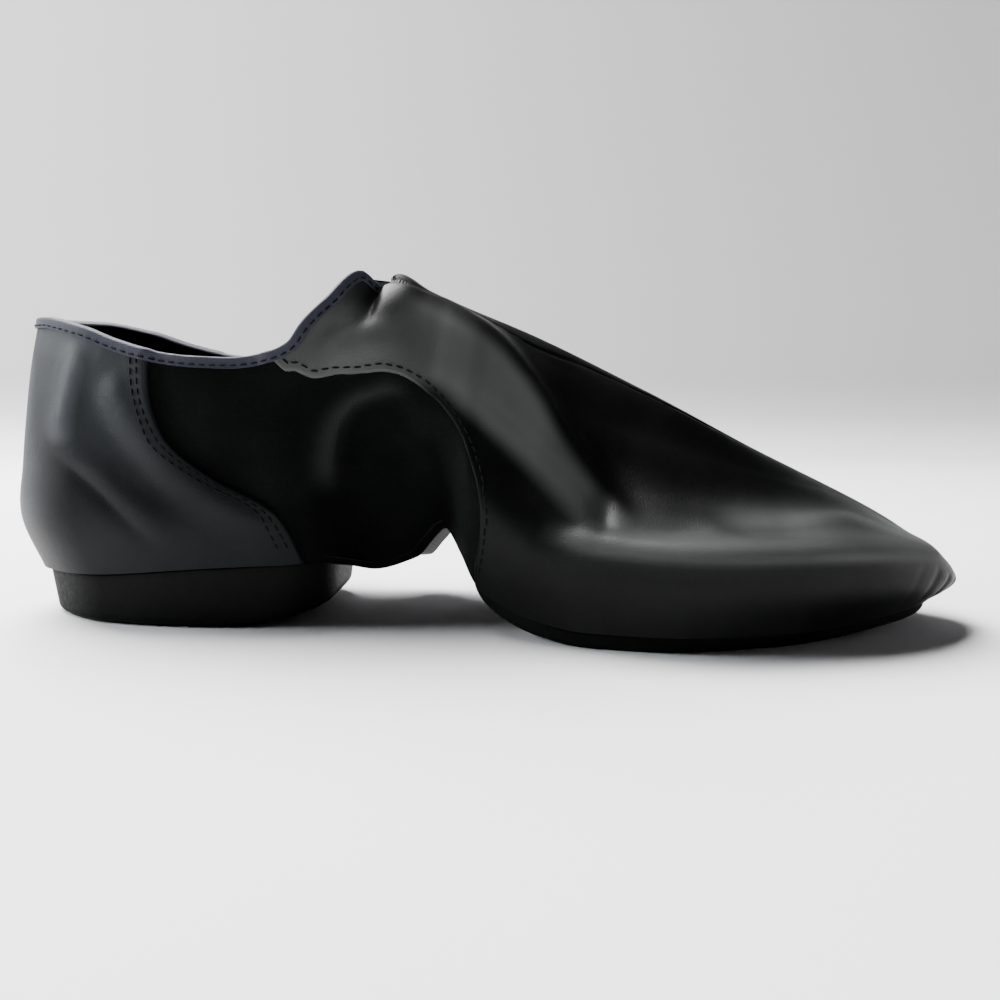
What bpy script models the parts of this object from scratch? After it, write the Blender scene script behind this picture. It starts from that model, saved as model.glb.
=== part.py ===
"""Left slip-on jazz shoe with a split sole: a leather and stretch upper, a heel counter laid over
its back, two elastic gores at the throat, a heel pad, a forefoot sole and a two-piece insole.

Metres, +Z up, toe towards +X, medial side towards -Y. The origin is on the floor under the middle of
the heel's flat rest. Every curved piece is read from one surface of the last: a table of sections
gives six named points on each side of the foot, from the feather edge up to the top line or ridge.
"""

import math

import bpy
import bmesh
import numpy as np
from mathutils import Vector

# Overall sizes of the shoe
SHOE_LENGTH = 0.250
BALL_WIDTH = 0.084
INSTEP_HEIGHT = 0.0893
HEEL_HEIGHT = 0.0140
ARCH_RISE = 0.0240

# Walls and layers
UPPER_WALL = 0.0018
COUNTER_WALL = 0.0012
COUNTER_GAP = 0.0006
GORE_WALL = 0.0010
INSOLE_THICKNESS = 0.0022
INSOLE_INSET = 0.0032
INSOLE_SEAT_GAP = 0.0005
FOREFOOT_THICKNESS = 0.0038
GAP = 0.0003

# The turned-in edge of the upper that the soles are stuck to
LASTING_MARGIN = 0.0080

# Heel pad
HEEL_REST_X = 0.035
HEEL_PAD_FRONT = 0.345
HEEL_PAD_TAPER = 0.0012
HEEL_BEVEL_START = 0.25
HEEL_BEVEL_RISE = 0.0042
HEEL_BEVEL_POWER = 1.5
PAD_EDGE_ROUND = 0.0012
PAD_EDGE_SEGMENTS = 2

# Forefoot sole
FOREFOOT_BACK = 0.497

# How square a sole's cut end is in plan, and a sock lining's ends
CUT_END_SQUARENESS = 5.0
LINING_SQUARENESS = 3.0

# Throat gores, each a wedge of elastic beside the tongue
TONGUE_HALF_WIDTH = 0.0045
GORE_WIDTH = 0.0065
GORE_LENGTH = 0.022
GORE_SINK = 0.0004
GORE_TIP = 0.0008
GORE_CUT_BASE = 0.6

# Share of the length where the collar ends and the ridge begins
THROAT_AT = 0.401

# The sheet that each gore is cut from: stations and levels, more than the wedge needs
GORE_STATIONS = (THROAT_AT - 0.028, THROAT_AT + 0.114, 18)
GORE_LEVELS = (3.6, 5.0, 9)

# Starts and ends of the two sock linings, as shares of the length
INSOLE_HEEL = (0.035, 0.335)
INSOLE_FOREFOOT = (0.560, 0.955)

# How finely the pads are cut along and across
HEEL_PAD_STEPS = 26
FOREFOOT_STEPS = 34
INSOLE_STEPS = 26
ACROSS_STEPS = 7

MEDIAL = -1
LATERAL = 1

# Side view. at is a share of the length. The underside's height is heel times HEEL_HEIGHT, plus fore
# times the forefoot sole with its gap, plus rise times ARCH_RISE. top is the collar's edge, and ahead
# of the throat the ridge, as a share of INSTEP_HEIGHT. lean moves the ridge sideways by BALL_WIDTH.
PROFILE = {
    "at":   (0.000, 0.100, 0.230, 0.320, 0.380, 0.430, 0.450, 0.470, 0.490, 0.507, 0.530, 0.570, 0.620,
             0.700, 0.800, 0.860, 0.930, 1.000),
    "heel": (0.890, 0.970, 1.140, 1.180, 0.900, 0.700, 0.500, 0.300, 0.100, 0.000, 0.000, 0.000, 0.000,
             0.000, 0.000, 0.000, 0.000, 0.000),
    "fore": (0.000, 0.000, 0.000, 0.000, 0.000, 0.000, 0.000, 0.000, 0.600, 1.000, 1.000, 1.000, 1.000,
             1.000, 1.000, 1.000, 1.000, 1.000),
    "rise": (0.000, 0.000, 0.000, 0.000, 0.000, 0.220, 0.560, 0.830, 0.640, 0.350, 0.200, 0.060, 0.000,
             0.000, 0.000, 0.020, 0.080, 0.160),
    "lean": (0.000, 0.000, 0.000, 0.000, 0.000, 0.000, 0.000, 0.000, 0.000, 0.000, 0.000, -0.005, -0.010,
             -0.020, -0.035, -0.045, -0.050, -0.050),
}

TOP_LINE = {
    "at":  (0.000, 0.030, 0.081, 0.122, 0.162, 0.203, 0.245, 0.286, 0.305, 0.320, 0.342, 0.370, 0.387,
            0.401, 0.436, 0.479, 0.545, 0.676, 0.807, 0.939, 0.983, 1.000),
    "top": (0.868, 0.866, 0.838, 0.800, 0.773, 0.760, 0.756, 0.772, 0.796, 0.853, 0.915, 0.993, 0.997,
            1.000, 0.950, 0.899, 0.826, 0.657, 0.474, 0.293, 0.205, 0.155),
}

# The notch between the flap's corner and the tongue, cut into the crown alone, by the share of the
# length and as a share of INSTEP_HEIGHT
THROAT_NOTCH = {
    "at":    (0.000, 0.370, 0.387, 0.401, 1.000),
    "depth": (0.000, 0.000, 0.040, 0.000, 0.000),
}

# Sections. width is the half width as a share of BALL_WIDTH. Each named point has In, its share of that
# half width, and Up, its share of the height from the underside to the top line.
SECTION_COLUMNS = (
    "at", "width", "footIn", "footUp", "rimIn", "rimUp", "ledgeIn", "ledgeUp",
    "slopeIn", "slopeUp", "shoulderIn", "shoulderUp", "crownIn",
)
MEDIAL_SECTIONS = (
    (0.000, 0.000, 0.90, 0.00, 1.00, 0.22, 0.98, 0.42, 0.92, 0.62, 0.83, 0.82, 0.76),
    (0.030, 0.205, 0.90, 0.00, 1.00, 0.22, 0.98, 0.42, 0.92, 0.62, 0.83, 0.82, 0.76),
    (0.100, 0.321, 0.92, 0.00, 1.00, 0.22, 0.98, 0.42, 0.93, 0.62, 0.86, 0.82, 0.80),
    (0.200, 0.351, 0.92, 0.00, 1.00, 0.23, 0.99, 0.42, 0.96, 0.62, 0.92, 0.82, 0.88),
    (0.300, 0.333, 0.88, 0.00, 0.99, 0.24, 1.00, 0.44, 0.98, 0.62, 0.96, 0.82, 0.92),
    (0.335, 0.320, 0.78, 0.00, 0.84, 0.21, 0.94, 0.42, 0.98, 0.60, 0.95, 0.82, 0.86),
    (0.370, 0.303, 0.48, 0.00, 0.43, 0.17, 0.67, 0.39, 0.95, 0.61, 0.94, 0.80, 0.62),
    (0.387, 0.299, 0.41, 0.00, 0.35, 0.15, 0.57, 0.37, 0.95, 0.62, 0.91, 0.81, 0.36),
    (0.401, 0.298, 0.38, 0.00, 0.32, 0.14, 0.54, 0.36, 0.95, 0.62, 0.87, 0.82, 0.00),
    (0.425, 0.301, 0.37, 0.00, 0.31, 0.13, 0.54, 0.35, 0.95, 0.61, 0.82, 0.82, 0.00),
    (0.460, 0.321, 0.42, 0.00, 0.42, 0.12, 0.70, 0.33, 0.94, 0.54, 0.72, 0.79, 0.00),
    (0.500, 0.369, 0.86, 0.00, 0.97, 0.20, 1.00, 0.38, 0.87, 0.59, 0.59, 0.81, 0.00),
    (0.560, 0.429, 0.90, 0.00, 1.00, 0.26, 0.94, 0.41, 0.68, 0.60, 0.40, 0.81, 0.00),
    (0.640, 0.482, 0.94, 0.00, 1.00, 0.34, 0.83, 0.43, 0.51, 0.55, 0.27, 0.79, 0.00),
    (0.700, 0.500, 0.94, 0.00, 1.00, 0.37, 0.81, 0.48, 0.49, 0.58, 0.26, 0.80, 0.00),
    (0.800, 0.440, 0.93, 0.00, 1.00, 0.47, 0.82, 0.63, 0.54, 0.71, 0.28, 0.87, 0.00),
    (0.880, 0.345, 0.92, 0.00, 1.00, 0.58, 0.81, 0.81, 0.55, 0.89, 0.28, 0.96, 0.00),
    (0.950, 0.226, 0.90, 0.00, 1.00, 0.58, 0.83, 0.83, 0.56, 0.94, 0.28, 0.985, 0.00),
    (1.000, 0.000, 0.90, 0.00, 1.00, 0.50, 0.83, 0.80, 0.56, 0.94, 0.28, 0.985, 0.00),
)
LATERAL_SECTIONS = (
    (0.000, 0.000, 0.90, 0.00, 1.00, 0.22, 0.98, 0.42, 0.92, 0.62, 0.83, 0.82, 0.76),
    (0.030, 0.205, 0.90, 0.00, 1.00, 0.22, 0.98, 0.42, 0.92, 0.62, 0.83, 0.82, 0.76),
    (0.100, 0.318, 0.92, 0.00, 1.00, 0.22, 0.98, 0.42, 0.93, 0.62, 0.86, 0.82, 0.80),
    (0.200, 0.345, 0.92, 0.00, 1.00, 0.23, 0.99, 0.42, 0.95, 0.62, 0.91, 0.82, 0.88),
    (0.300, 0.345, 0.90, 0.00, 0.99, 0.24, 0.99, 0.44, 0.95, 0.62, 0.91, 0.82, 0.89),
    (0.370, 0.348, 0.84, 0.00, 0.92, 0.22, 0.97, 0.42, 0.93, 0.62, 0.86, 0.81, 0.54),
    (0.387, 0.352, 0.82, -0.02, 0.91, 0.21, 0.97, 0.41, 0.92, 0.62, 0.83, 0.82, 0.31),
    (0.401, 0.356, 0.81, -0.04, 0.90, 0.20, 0.96, 0.41, 0.91, 0.62, 0.80, 0.82, 0.00),
    (0.460, 0.378, 0.80, -0.10, 0.91, 0.20, 0.96, 0.40, 0.86, 0.60, 0.64, 0.81, 0.00),
    (0.490, 0.396, 0.84, 0.00, 0.96, 0.22, 0.97, 0.40, 0.80, 0.60, 0.53, 0.81, 0.00),
    (0.560, 0.438, 0.90, 0.00, 1.00, 0.27, 0.93, 0.42, 0.68, 0.60, 0.40, 0.81, 0.00),
    (0.640, 0.470, 0.94, 0.00, 1.00, 0.34, 0.84, 0.45, 0.54, 0.57, 0.29, 0.79, 0.00),
    (0.700, 0.470, 0.94, 0.00, 1.00, 0.37, 0.82, 0.49, 0.51, 0.60, 0.28, 0.80, 0.00),
    (0.800, 0.420, 0.93, 0.00, 1.00, 0.47, 0.82, 0.63, 0.54, 0.72, 0.28, 0.87, 0.00),
    (0.880, 0.330, 0.92, 0.00, 1.00, 0.58, 0.81, 0.81, 0.55, 0.89, 0.28, 0.96, 0.00),
    (0.950, 0.214, 0.90, 0.00, 1.00, 0.58, 0.83, 0.83, 0.56, 0.94, 0.28, 0.985, 0.00),
    (1.000, 0.000, 0.90, 0.00, 1.00, 0.50, 0.83, 0.80, 0.56, 0.94, 0.28, 0.985, 0.00),
)

# Where each point of the section lies at the two ends, as shares of the length
ENDS = {
    "point": ("foot", "rim", "ledge", "slope", "shoulder", "crown"),
    "heel":  (0.027, 0.007, 0.012, 0.018, 0.025, 0.035),
    "toe":   (0.969, 0.991, 0.989, 0.987, 0.985, 0.983),
}

# Runs of stations along the upper, closest at the throat and the arch
STATION_RUNS = {
    "start": (0.000, 0.060, 0.300, 0.401, 0.510, 0.900),
    "end":   (0.060, 0.300, 0.401, 0.510, 0.900, 1.000),
    "steps": (7, 8, 10, 10, 13, 7),
}
SECTION_LEVELS = (0.0, 0.5, 1.0, 1.45, 2.0, 2.5, 3.0, 3.5, 4.0, 4.5, 5.0)
UNDER_STEPS = (0.5, 1.0)
COUNTER_LEVEL_STEPS = 12
COUNTER_AROUND_STEPS = 13

# Share of the half width over which the crown turns from an open collar's slope to a flat ridge
CROWN_BLEND = 0.2

# Half the stretch of length or level over which a surface's normal is measured
NORMAL_REACH = 0.002

# Points nearer than WELD are one, and faces thinner than SLIVER are dropped
WELD = 0.00002
SLIVER = 0.000001

# Degrees between faces past which an edge is shaded sharp, and past which it is rounded
SHARP_ANGLE = 40
ROUND_ANGLE = 50

# The two openings in the upper's underside
HEEL_OPENING = (0.060, 0.310)
FOREFOOT_OPENING = (0.540, 0.950)
OPENING_SQUARENESS = 4

# Front edge of the heel counter, from the feather edge up
COUNTER_EDGE = {
    "level": (0.0, 1.0, 2.0, 3.0, 4.0, 5.0),
    "at":    (0.322, 0.308, 0.245, 0.190, 0.166, 0.155),
}
COUNTER_LOW_LEVEL = 0.08
COUNTER_HIGH_LEVEL = 4.93


def hermite_slopes(x, y):
    """Slopes at the rows of a table that keep a curve through them from overshooting."""
    step = np.diff(x)
    rate = np.diff(y) / step
    slope = np.empty_like(y)
    slope[0], slope[-1] = rate[0], rate[-1]
    before, after = rate[:-1], rate[1:]
    same_way = before * after > 0
    early = 2 * step[1:] + step[:-1]
    late = step[1:] + 2 * step[:-1]
    safe_before = np.where(same_way, before, 1.0)
    safe_after = np.where(same_way, after, 1.0)
    mean = (early + late) / (early / safe_before + late / safe_after)
    slope[1:-1] = np.where(same_way, mean, 0.0)
    return slope


def read_column(x, y, where):
    """A smooth curve through a table's column, read at each place in where."""
    x, y = np.asarray(x, float), np.asarray(y, float)
    slope = hermite_slopes(x, y)
    row = np.clip(np.searchsorted(x, where, side="right") - 1, 0, len(x) - 2)
    step = x[row + 1] - x[row]
    s = (where - x[row]) / step
    return (
        y[row] * (1 + 2 * s) * (1 - s) ** 2
        + slope[row] * step * s * (1 - s) ** 2
        + y[row + 1] * s * s * (3 - 2 * s)
        + slope[row + 1] * step * s * s * (s - 1)
    )


def turn(at):
    """A share of the length as an angle from heel to toe, which rounds both ends in plan."""
    return np.arccos(np.clip(1 - 2 * np.asarray(at, float), -1, 1))


def underside(at):
    """Height of the upper's underside over the floor."""
    where = turn(at)
    rows = turn(PROFILE["at"])
    heel, fore, rise = (read_column(rows, PROFILE[name], where) for name in ("heel", "fore", "rise"))
    return heel * HEEL_HEIGHT + fore * (FOREFOOT_THICKNESS + GAP) + rise * ARCH_RISE


def top_line(at):
    """Height of the collar's edge, or of the ridge ahead of the throat."""
    return INSTEP_HEIGHT * read_column(turn(TOP_LINE["at"]), TOP_LINE["top"], turn(at))


def read_sections(side, at):
    """Every column of a side's section table at each place along the shoe."""
    table = np.array(MEDIAL_SECTIONS if side == MEDIAL else LATERAL_SECTIONS)
    rows, where = turn(table[:, 0]), turn(at)
    return {
        name: read_column(rows, table[:, column], where)
        for column, name in enumerate(SECTION_COLUMNS)
        if name != "at"
    }


def section_points(side, at):
    """The six named points of a section, shaped (6, places, 3)."""
    at = np.asarray(at, float)
    shares = read_sections(side, at)
    low, high = underside(at), top_line(at)
    lean = BALL_WIDTH * read_column(turn(PROFILE["at"]), PROFILE["lean"], turn(at))
    half = shares["width"] * BALL_WIDTH
    points = np.empty((6, at.size, 3))
    for number, name in enumerate(ENDS["point"]):
        heel, toe = ENDS["heel"][number], ENDS["toe"][number]
        up = shares[name + "Up"] if name != "crown" else np.ones_like(at)
        points[number, :, 0] = SHOE_LENGTH * (heel + at * (toe - heel)) - HEEL_REST_X
        points[number, :, 1] = side * half * shares[name + "In"] + lean
        points[number, :, 2] = low + up * (high - low)
    notch = read_column(turn(THROAT_NOTCH["at"]), THROAT_NOTCH["depth"], turn(at))
    points[-1, :, 2] -= notch * INSTEP_HEIGHT
    return points


def section_surface(side, at, level):
    """Points of the last at each station and level; level 0 is the feather edge and 5 the top."""
    at, level = np.broadcast_arrays(np.asarray(at, float), np.asarray(level, float))
    shape = at.shape
    at, level = at.ravel(), level.ravel()
    points = section_points(side, at)
    chord = np.sqrt(np.linalg.norm(np.diff(points, axis=0), axis=2)) + 1e-9
    rate = np.diff(points, axis=0) / chord[:, :, None]
    slope = np.empty_like(points)
    slope[0] = rate[0]
    weight = chord[:, :, None]
    slope[1:-1] = (rate[:-1] * weight[1:] + rate[1:] * weight[:-1]) / (weight[1:] + weight[:-1])
    open_share = np.clip(read_sections(side, at)["crownIn"] / CROWN_BLEND, 0, 1)[:, None]
    level_crown = np.zeros_like(rate[-1])
    level_crown[:, 1] = -side * np.linalg.norm(rate[-1], axis=1)
    slope[-1] = open_share * rate[-1] + (1 - open_share) * level_crown
    row = np.clip(level.astype(int), 0, 4)
    s = (level - row)[:, None]
    place = np.arange(at.size)
    step = chord[row, place][:, None]
    surface = (
        points[row, place] * (1 + 2 * s) * (1 - s) ** 2
        + slope[row, place] * step * s * (1 - s) ** 2
        + points[row + 1, place] * s * s * (3 - 2 * s)
        + slope[row + 1, place] * step * s * s * (s - 1)
    )
    return surface.reshape(shape + (3,))


def offset_surface(side, at, level, distance):
    """The same points moved outwards along the surface's normal."""
    at, level = np.broadcast_arrays(np.asarray(at, float), np.asarray(level, float))
    ahead = section_surface(side, np.clip(at + NORMAL_REACH, 0, 1), level)
    behind = section_surface(side, np.clip(at - NORMAL_REACH, 0, 1), level)
    above = section_surface(side, at, np.clip(level + NORMAL_REACH, 0, 5))
    below = section_surface(side, at, np.clip(level - NORMAL_REACH, 0, 5))
    normal = np.cross(ahead - behind, above - below) * -side
    normal /= np.linalg.norm(normal, axis=-1, keepdims=True) + 1e-12
    return section_surface(side, at, level) + normal * distance


def opening_share(at):
    """How far the underside is open: 0 is closed to the centre line, 1 open up to the margin."""
    share = np.zeros_like(at)
    for start, end in (HEEL_OPENING, FOREFOOT_OPENING):
        along = (at - (start + end) / 2) / ((end - start) / 2)
        share = np.maximum(share, np.sqrt(np.clip(1 - along**OPENING_SQUARENESS, 0, None)))
    return share


def under_rows(side, at):
    """Rows of the turned-in margin, which meets the other side's where the underside is closed."""
    foot = section_surface(side, at, np.zeros_like(at))
    centre = BALL_WIDTH * read_column(turn(PROFILE["at"]), PROFILE["lean"], turn(at))
    reach = np.abs(foot[:, 1] - centre)
    margin_share = np.clip(LASTING_MARGIN / np.maximum(reach, 1e-6), 0, 1)
    inward = 1 - opening_share(at) * (1 - margin_share)
    rows = []
    for step in UNDER_STEPS:
        row = foot.copy()
        row[:, 1] += (centre - foot[:, 1]) * inward * step
        row[:, 2] += (underside(at) - foot[:, 2]) * inward * step
        rows.append(row)
    return rows[::-1]


def stations():
    """Places along the upper, closing up towards the heel and the toe."""
    runs = zip(STATION_RUNS["start"], STATION_RUNS["end"], STATION_RUNS["steps"])
    parts = [np.linspace(turn(start), turn(end), steps, endpoint=False) for start, end, steps in runs]
    return (1 - np.cos(np.concatenate(parts + [[math.pi]]))) / 2


def new_object(name, mesh, finish, collection):
    thing = bpy.data.objects.new(name, mesh)
    collection.objects.link(thing)
    if finish:
        mesh.materials.append(finish)
    return thing


def sheet_mesh(name, grids):
    """One mesh from grids of points, each with whether its faces are turned over."""
    mesh = bmesh.new()
    for grid, turned in grids:
        rows = [[mesh.verts.new(point) for point in line] for line in grid]
        for lower, upper in zip(rows[:-1], rows[1:]):
            for a, b, c, d in zip(lower[:-1], lower[1:], upper[1:], upper[:-1]):
                mesh.faces.new((a, d, c, b) if turned else (a, b, c, d))
    bmesh.ops.remove_doubles(mesh, verts=mesh.verts, dist=WELD)
    bmesh.ops.dissolve_degenerate(mesh, edges=mesh.edges, dist=SLIVER)
    data = bpy.data.meshes.new(name)
    mesh.to_mesh(data)
    mesh.free()
    data.shade_smooth()
    return data


def solidify(thing, thickness, offset):
    wall = thing.modifiers.new("wall", "SOLIDIFY")
    wall.thickness = thickness
    wall.offset = offset
    wall.use_even_offset = True
    wall.use_quality_normals = True
    return wall


def boolean(thing, cutter, operation):
    cut = thing.modifiers.new("cut", "BOOLEAN")
    cut.operation = operation
    cut.solver = "EXACT"
    cut.object = cutter
    return cut


def material(name, colour, roughness):
    made = bpy.data.materials.new(name)
    made.use_nodes = True
    shader = made.node_tree.nodes["Principled BSDF"]
    shader.inputs["Base Color"].default_value = (*colour, 1)
    shader.inputs["Roughness"].default_value = roughness
    shader.inputs["Metallic"].default_value = 0
    return made


def make_upper(collection, leather):
    """The hollow shell: both sides from the ridge or collar down, and the margin turned in below."""
    at = stations()
    grids = []
    for side in (MEDIAL, LATERAL):
        walls = [section_surface(side, at, np.full_like(at, level)) for level in SECTION_LEVELS]
        grids.append((under_rows(side, at) + walls, side == LATERAL))
    upper = new_object("upper", sheet_mesh("upper", grids), leather, collection)
    solidify(upper, UPPER_WALL, -1)
    return upper


def make_heel_counter(collection, leather):
    """Leather laid over the back of the upper, up to a front edge that slants down and forward."""
    levels = np.linspace(COUNTER_LOW_LEVEL, COUNTER_HIGH_LEVEL, COUNTER_LEVEL_STEPS)
    edge = read_column(COUNTER_EDGE["level"], COUNTER_EDGE["at"], levels)
    shares = 1 - np.cos(np.linspace(0, math.pi / 2, COUNTER_AROUND_STEPS))
    grids = []
    for side in (MEDIAL, LATERAL):
        rows = [
            offset_surface(side, end * shares, np.full_like(shares, level), COUNTER_GAP)
            for level, end in zip(levels, edge)
        ]
        for row in rows:
            row[0, 1] = 0
        grids.append((rows, side == LATERAL))
    counter = new_object("heel_counter", sheet_mesh("heel_counter", grids), leather, collection)
    solidify(counter, COUNTER_WALL, 1)
    return counter


def throat_x():
    """Where the tongue's top edge stands on the centre line."""
    return section_surface(MEDIAL, THROAT_AT, 5.0)[0]


def gore_wedge(name, side, margin, collection):
    """An upright wedge beside the tongue, widest at the throat, shrunk by margin all round."""
    start = throat_x() - GORE_LENGTH / 2
    slant = GORE_WIDTH / GORE_LENGTH
    inner = TONGUE_HALF_WIDTH + margin
    outer = TONGUE_HALF_WIDTH + GORE_WIDTH - margin * math.hypot(1, slant)
    tip = throat_x() + (outer - inner - GORE_TIP) / slant
    plan = ((start, inner), (start, outer), (throat_x(), outer), (tip, inner + GORE_TIP), (tip, inner))
    mesh = bmesh.new()
    rim = [mesh.verts.new((x, side * y, INSTEP_HEIGHT * GORE_CUT_BASE)) for x, y in plan]
    base = mesh.faces.new(rim)
    lifted = bmesh.ops.extrude_face_region(mesh, geom=[base])
    raised = [part for part in lifted["geom"] if isinstance(part, bmesh.types.BMVert)]
    bmesh.ops.translate(mesh, verts=raised, vec=Vector((0, 0, INSTEP_HEIGHT * GORE_CUT_BASE)))
    bmesh.ops.recalc_face_normals(mesh, faces=mesh.faces)
    data = bpy.data.meshes.new(name)
    mesh.to_mesh(data)
    mesh.free()
    wedge = new_object(name, data, None, collection)
    wedge.hide_render = True
    wedge.display_type = "WIRE"
    return wedge


def make_gore(name, side, collection, cutters, elastic):
    """Elastic that fills the wedge cut from the upper, a little below its face."""
    at = np.linspace(*GORE_STATIONS)
    levels = np.linspace(*GORE_LEVELS)
    rows = [section_surface(side, at, np.full_like(at, level)) for level in levels]
    rows = [row - np.array((0, 0, GORE_SINK)) for row in rows]
    gore = new_object(name, sheet_mesh(name, [(rows, side == LATERAL)]), elastic, collection)
    solidify(gore, GORE_WALL, -1)
    boolean(gore, gore_wedge(name + "_outline", side, GAP, cutters), "INTERSECT")
    return gore


def sole_pad(name, collection, finish, plan, base, top, edge_round):
    """A closed pad from its plan, with its own underside and top, and rounded edges.

    plan gives x and the two half widths at each station; base and top give heights at x.
    """
    x, medial, lateral, taper = plan
    across = np.linspace(-1, 1, ACROSS_STEPS)
    middle, reach = (x[0] + x[-1]) / 2, (x[-1] - x[0]) / 2
    widest = max(medial.max(), lateral.max())
    layers = []
    for height, shrink in ((base, taper), (top, 0.0)):
        inner_x = middle + (x - middle) * (1 - shrink / reach)
        y = across[:, None] * np.where(across[:, None] < 0, medial, lateral) * (1 - shrink / widest)
        z = np.broadcast_to(height(inner_x), y.shape)
        layers.append(np.stack([np.broadcast_to(inner_x, y.shape), y, z], axis=2))
    low, high = layers
    walls = [np.stack([low[0], high[0]]), np.stack([low[-1], high[-1]])]
    grids = [(low, False), (high, True), (walls[0], True), (walls[1], False)]
    data = sheet_mesh(name, grids)
    mesh = bmesh.new()
    mesh.from_mesh(data)
    bmesh.ops.recalc_face_normals(mesh, faces=mesh.faces)
    mesh.to_mesh(data)
    mesh.free()
    data.shade_smooth()
    data.set_sharp_from_angle(angle=math.radians(SHARP_ANGLE))
    pad = new_object(name, data, finish, collection)
    if edge_round:
        bevel = pad.modifiers.new("edge", "BEVEL")
        bevel.width = edge_round
        bevel.segments = PAD_EDGE_SEGMENTS
        bevel.limit_method = "ANGLE"
        bevel.angle_limit = math.radians(ROUND_ANGLE)
    return pad


def pad_plan(start, end, inset, count, squareness):
    """Stations from start to end, with the feather edge's half widths less an inset.

    An end short of the shoe's own heel or toe is closed by a squared round.
    """
    along = -np.cos(np.linspace(0, math.pi, count))
    at = start + (end - start) * (along + 1) / 2
    cut = ((along < 0) & (start > 0)) | ((along > 0) & (end < 1))
    close = np.where(cut, (1 - np.abs(along) ** squareness) ** (1 / squareness), 1)
    halves = []
    for side in (MEDIAL, LATERAL):
        shares = read_sections(side, at)
        halves.append(np.maximum(shares["width"] * shares["footIn"] * BALL_WIDTH - inset, 0) * close)
    heel, toe = ENDS["heel"][0], ENDS["toe"][0]
    x = SHOE_LENGTH * (heel + at * (toe - heel)) - HEEL_REST_X
    return x, halves[0], halves[1]


def share_at(x):
    heel, toe = ENDS["heel"][0], ENDS["toe"][0]
    return np.clip(((x + HEEL_REST_X) / SHOE_LENGTH - heel) / (toe - heel), 0, 1)


def make_heel_pad(collection, rubber):
    """A rubber heel with a flat rest and an underside that rises towards the arch."""
    plan = pad_plan(0, HEEL_PAD_FRONT, 0, HEEL_PAD_STEPS, CUT_END_SQUARENESS)

    def base(x):
        along = np.clip((share_at(x) - HEEL_BEVEL_START) / (HEEL_PAD_FRONT - HEEL_BEVEL_START), 0, 1)
        return HEEL_BEVEL_RISE * along**HEEL_BEVEL_POWER

    def top(x):
        return underside(share_at(x)) - GAP

    return sole_pad("heel_pad", collection, rubber, (*plan, HEEL_PAD_TAPER), base, top, PAD_EDGE_ROUND)


def make_forefoot_sole(collection, suede):
    """A thin sole under the ball and toes, flat on the floor in the middle."""
    plan = pad_plan(FOREFOOT_BACK, 1, 0, FOREFOOT_STEPS, CUT_END_SQUARENESS)

    def top(x):
        return underside(share_at(x)) - GAP

    def base(x):
        return top(x) - FOREFOOT_THICKNESS

    return sole_pad("forefoot_sole", collection, suede, (*plan, 0.0), base, top, PAD_EDGE_ROUND)


def make_insole(name, ends, collection, lining):
    """A thin sock lining on the upper's margin, inside the wall."""
    plan = pad_plan(*ends, UPPER_WALL + INSOLE_INSET, INSOLE_STEPS, LINING_SQUARENESS)

    def base(x):
        return underside(share_at(x)) + UPPER_WALL + INSOLE_SEAT_GAP

    def top(x):
        return base(x) + INSOLE_THICKNESS

    return sole_pad(name, collection, lining, (*plan, 0.0), base, top, 0)


def main():
    for thing in list(bpy.data.objects):
        bpy.data.objects.remove(thing)
    shoe = bpy.data.collections.new("jazz_shoe")
    cutters = bpy.data.collections.new("cutters")
    for group in (shoe, cutters):
        bpy.context.scene.collection.children.link(group)

    leather = material("black_leather", (0.022, 0.024, 0.023), 0.38)
    counter_leather = material("counter_leather", (0.030, 0.033, 0.034), 0.45)
    elastic = material("black_elastic", (0.010, 0.011, 0.012), 0.80)
    rubber = material("black_rubber", (0.016, 0.017, 0.016), 0.70)
    suede = material("sole_suede", (0.020, 0.020, 0.019), 0.85)
    lining = material("sock_lining", (0.060, 0.058, 0.055), 0.80)

    upper = make_upper(shoe, leather)
    for name, side in (("medial", MEDIAL), ("lateral", LATERAL)):
        boolean(upper, gore_wedge("throat_cut_" + name, side, 0.0, cutters), "DIFFERENCE")
        make_gore("throat_gore_" + name, side, shoe, cutters, elastic)
    make_heel_counter(shoe, counter_leather)
    make_heel_pad(shoe, rubber)
    make_forefoot_sole(shoe, suede)
    make_insole("insole_heel", INSOLE_HEEL, shoe, lining)
    make_insole("insole_forefoot", INSOLE_FOREFOOT, shoe, lining)


main()
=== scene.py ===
import math

import bmesh
import bpy
import numpy as np
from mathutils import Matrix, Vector


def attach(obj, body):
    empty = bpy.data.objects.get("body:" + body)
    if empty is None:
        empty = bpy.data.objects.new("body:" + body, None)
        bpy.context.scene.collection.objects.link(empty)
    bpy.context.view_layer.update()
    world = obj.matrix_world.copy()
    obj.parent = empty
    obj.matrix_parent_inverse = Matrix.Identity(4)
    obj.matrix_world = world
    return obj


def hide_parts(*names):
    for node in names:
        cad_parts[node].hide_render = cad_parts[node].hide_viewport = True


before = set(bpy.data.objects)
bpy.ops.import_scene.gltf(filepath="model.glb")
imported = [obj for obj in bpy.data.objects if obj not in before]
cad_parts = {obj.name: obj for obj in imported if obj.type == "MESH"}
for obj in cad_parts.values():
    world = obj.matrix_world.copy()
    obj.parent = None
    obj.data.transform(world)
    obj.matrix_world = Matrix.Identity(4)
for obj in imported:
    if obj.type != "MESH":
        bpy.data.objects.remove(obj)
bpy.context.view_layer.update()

# A left slip-on jazz shoe seen from its inner side. Metres, toe towards +X, inner side towards -Y.
# Every visible surface is read from the same last: stations along the foot (at) and levels up its side.

mm = 0.001
medial, lateral = -1, 1

print("stage: the last")

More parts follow.
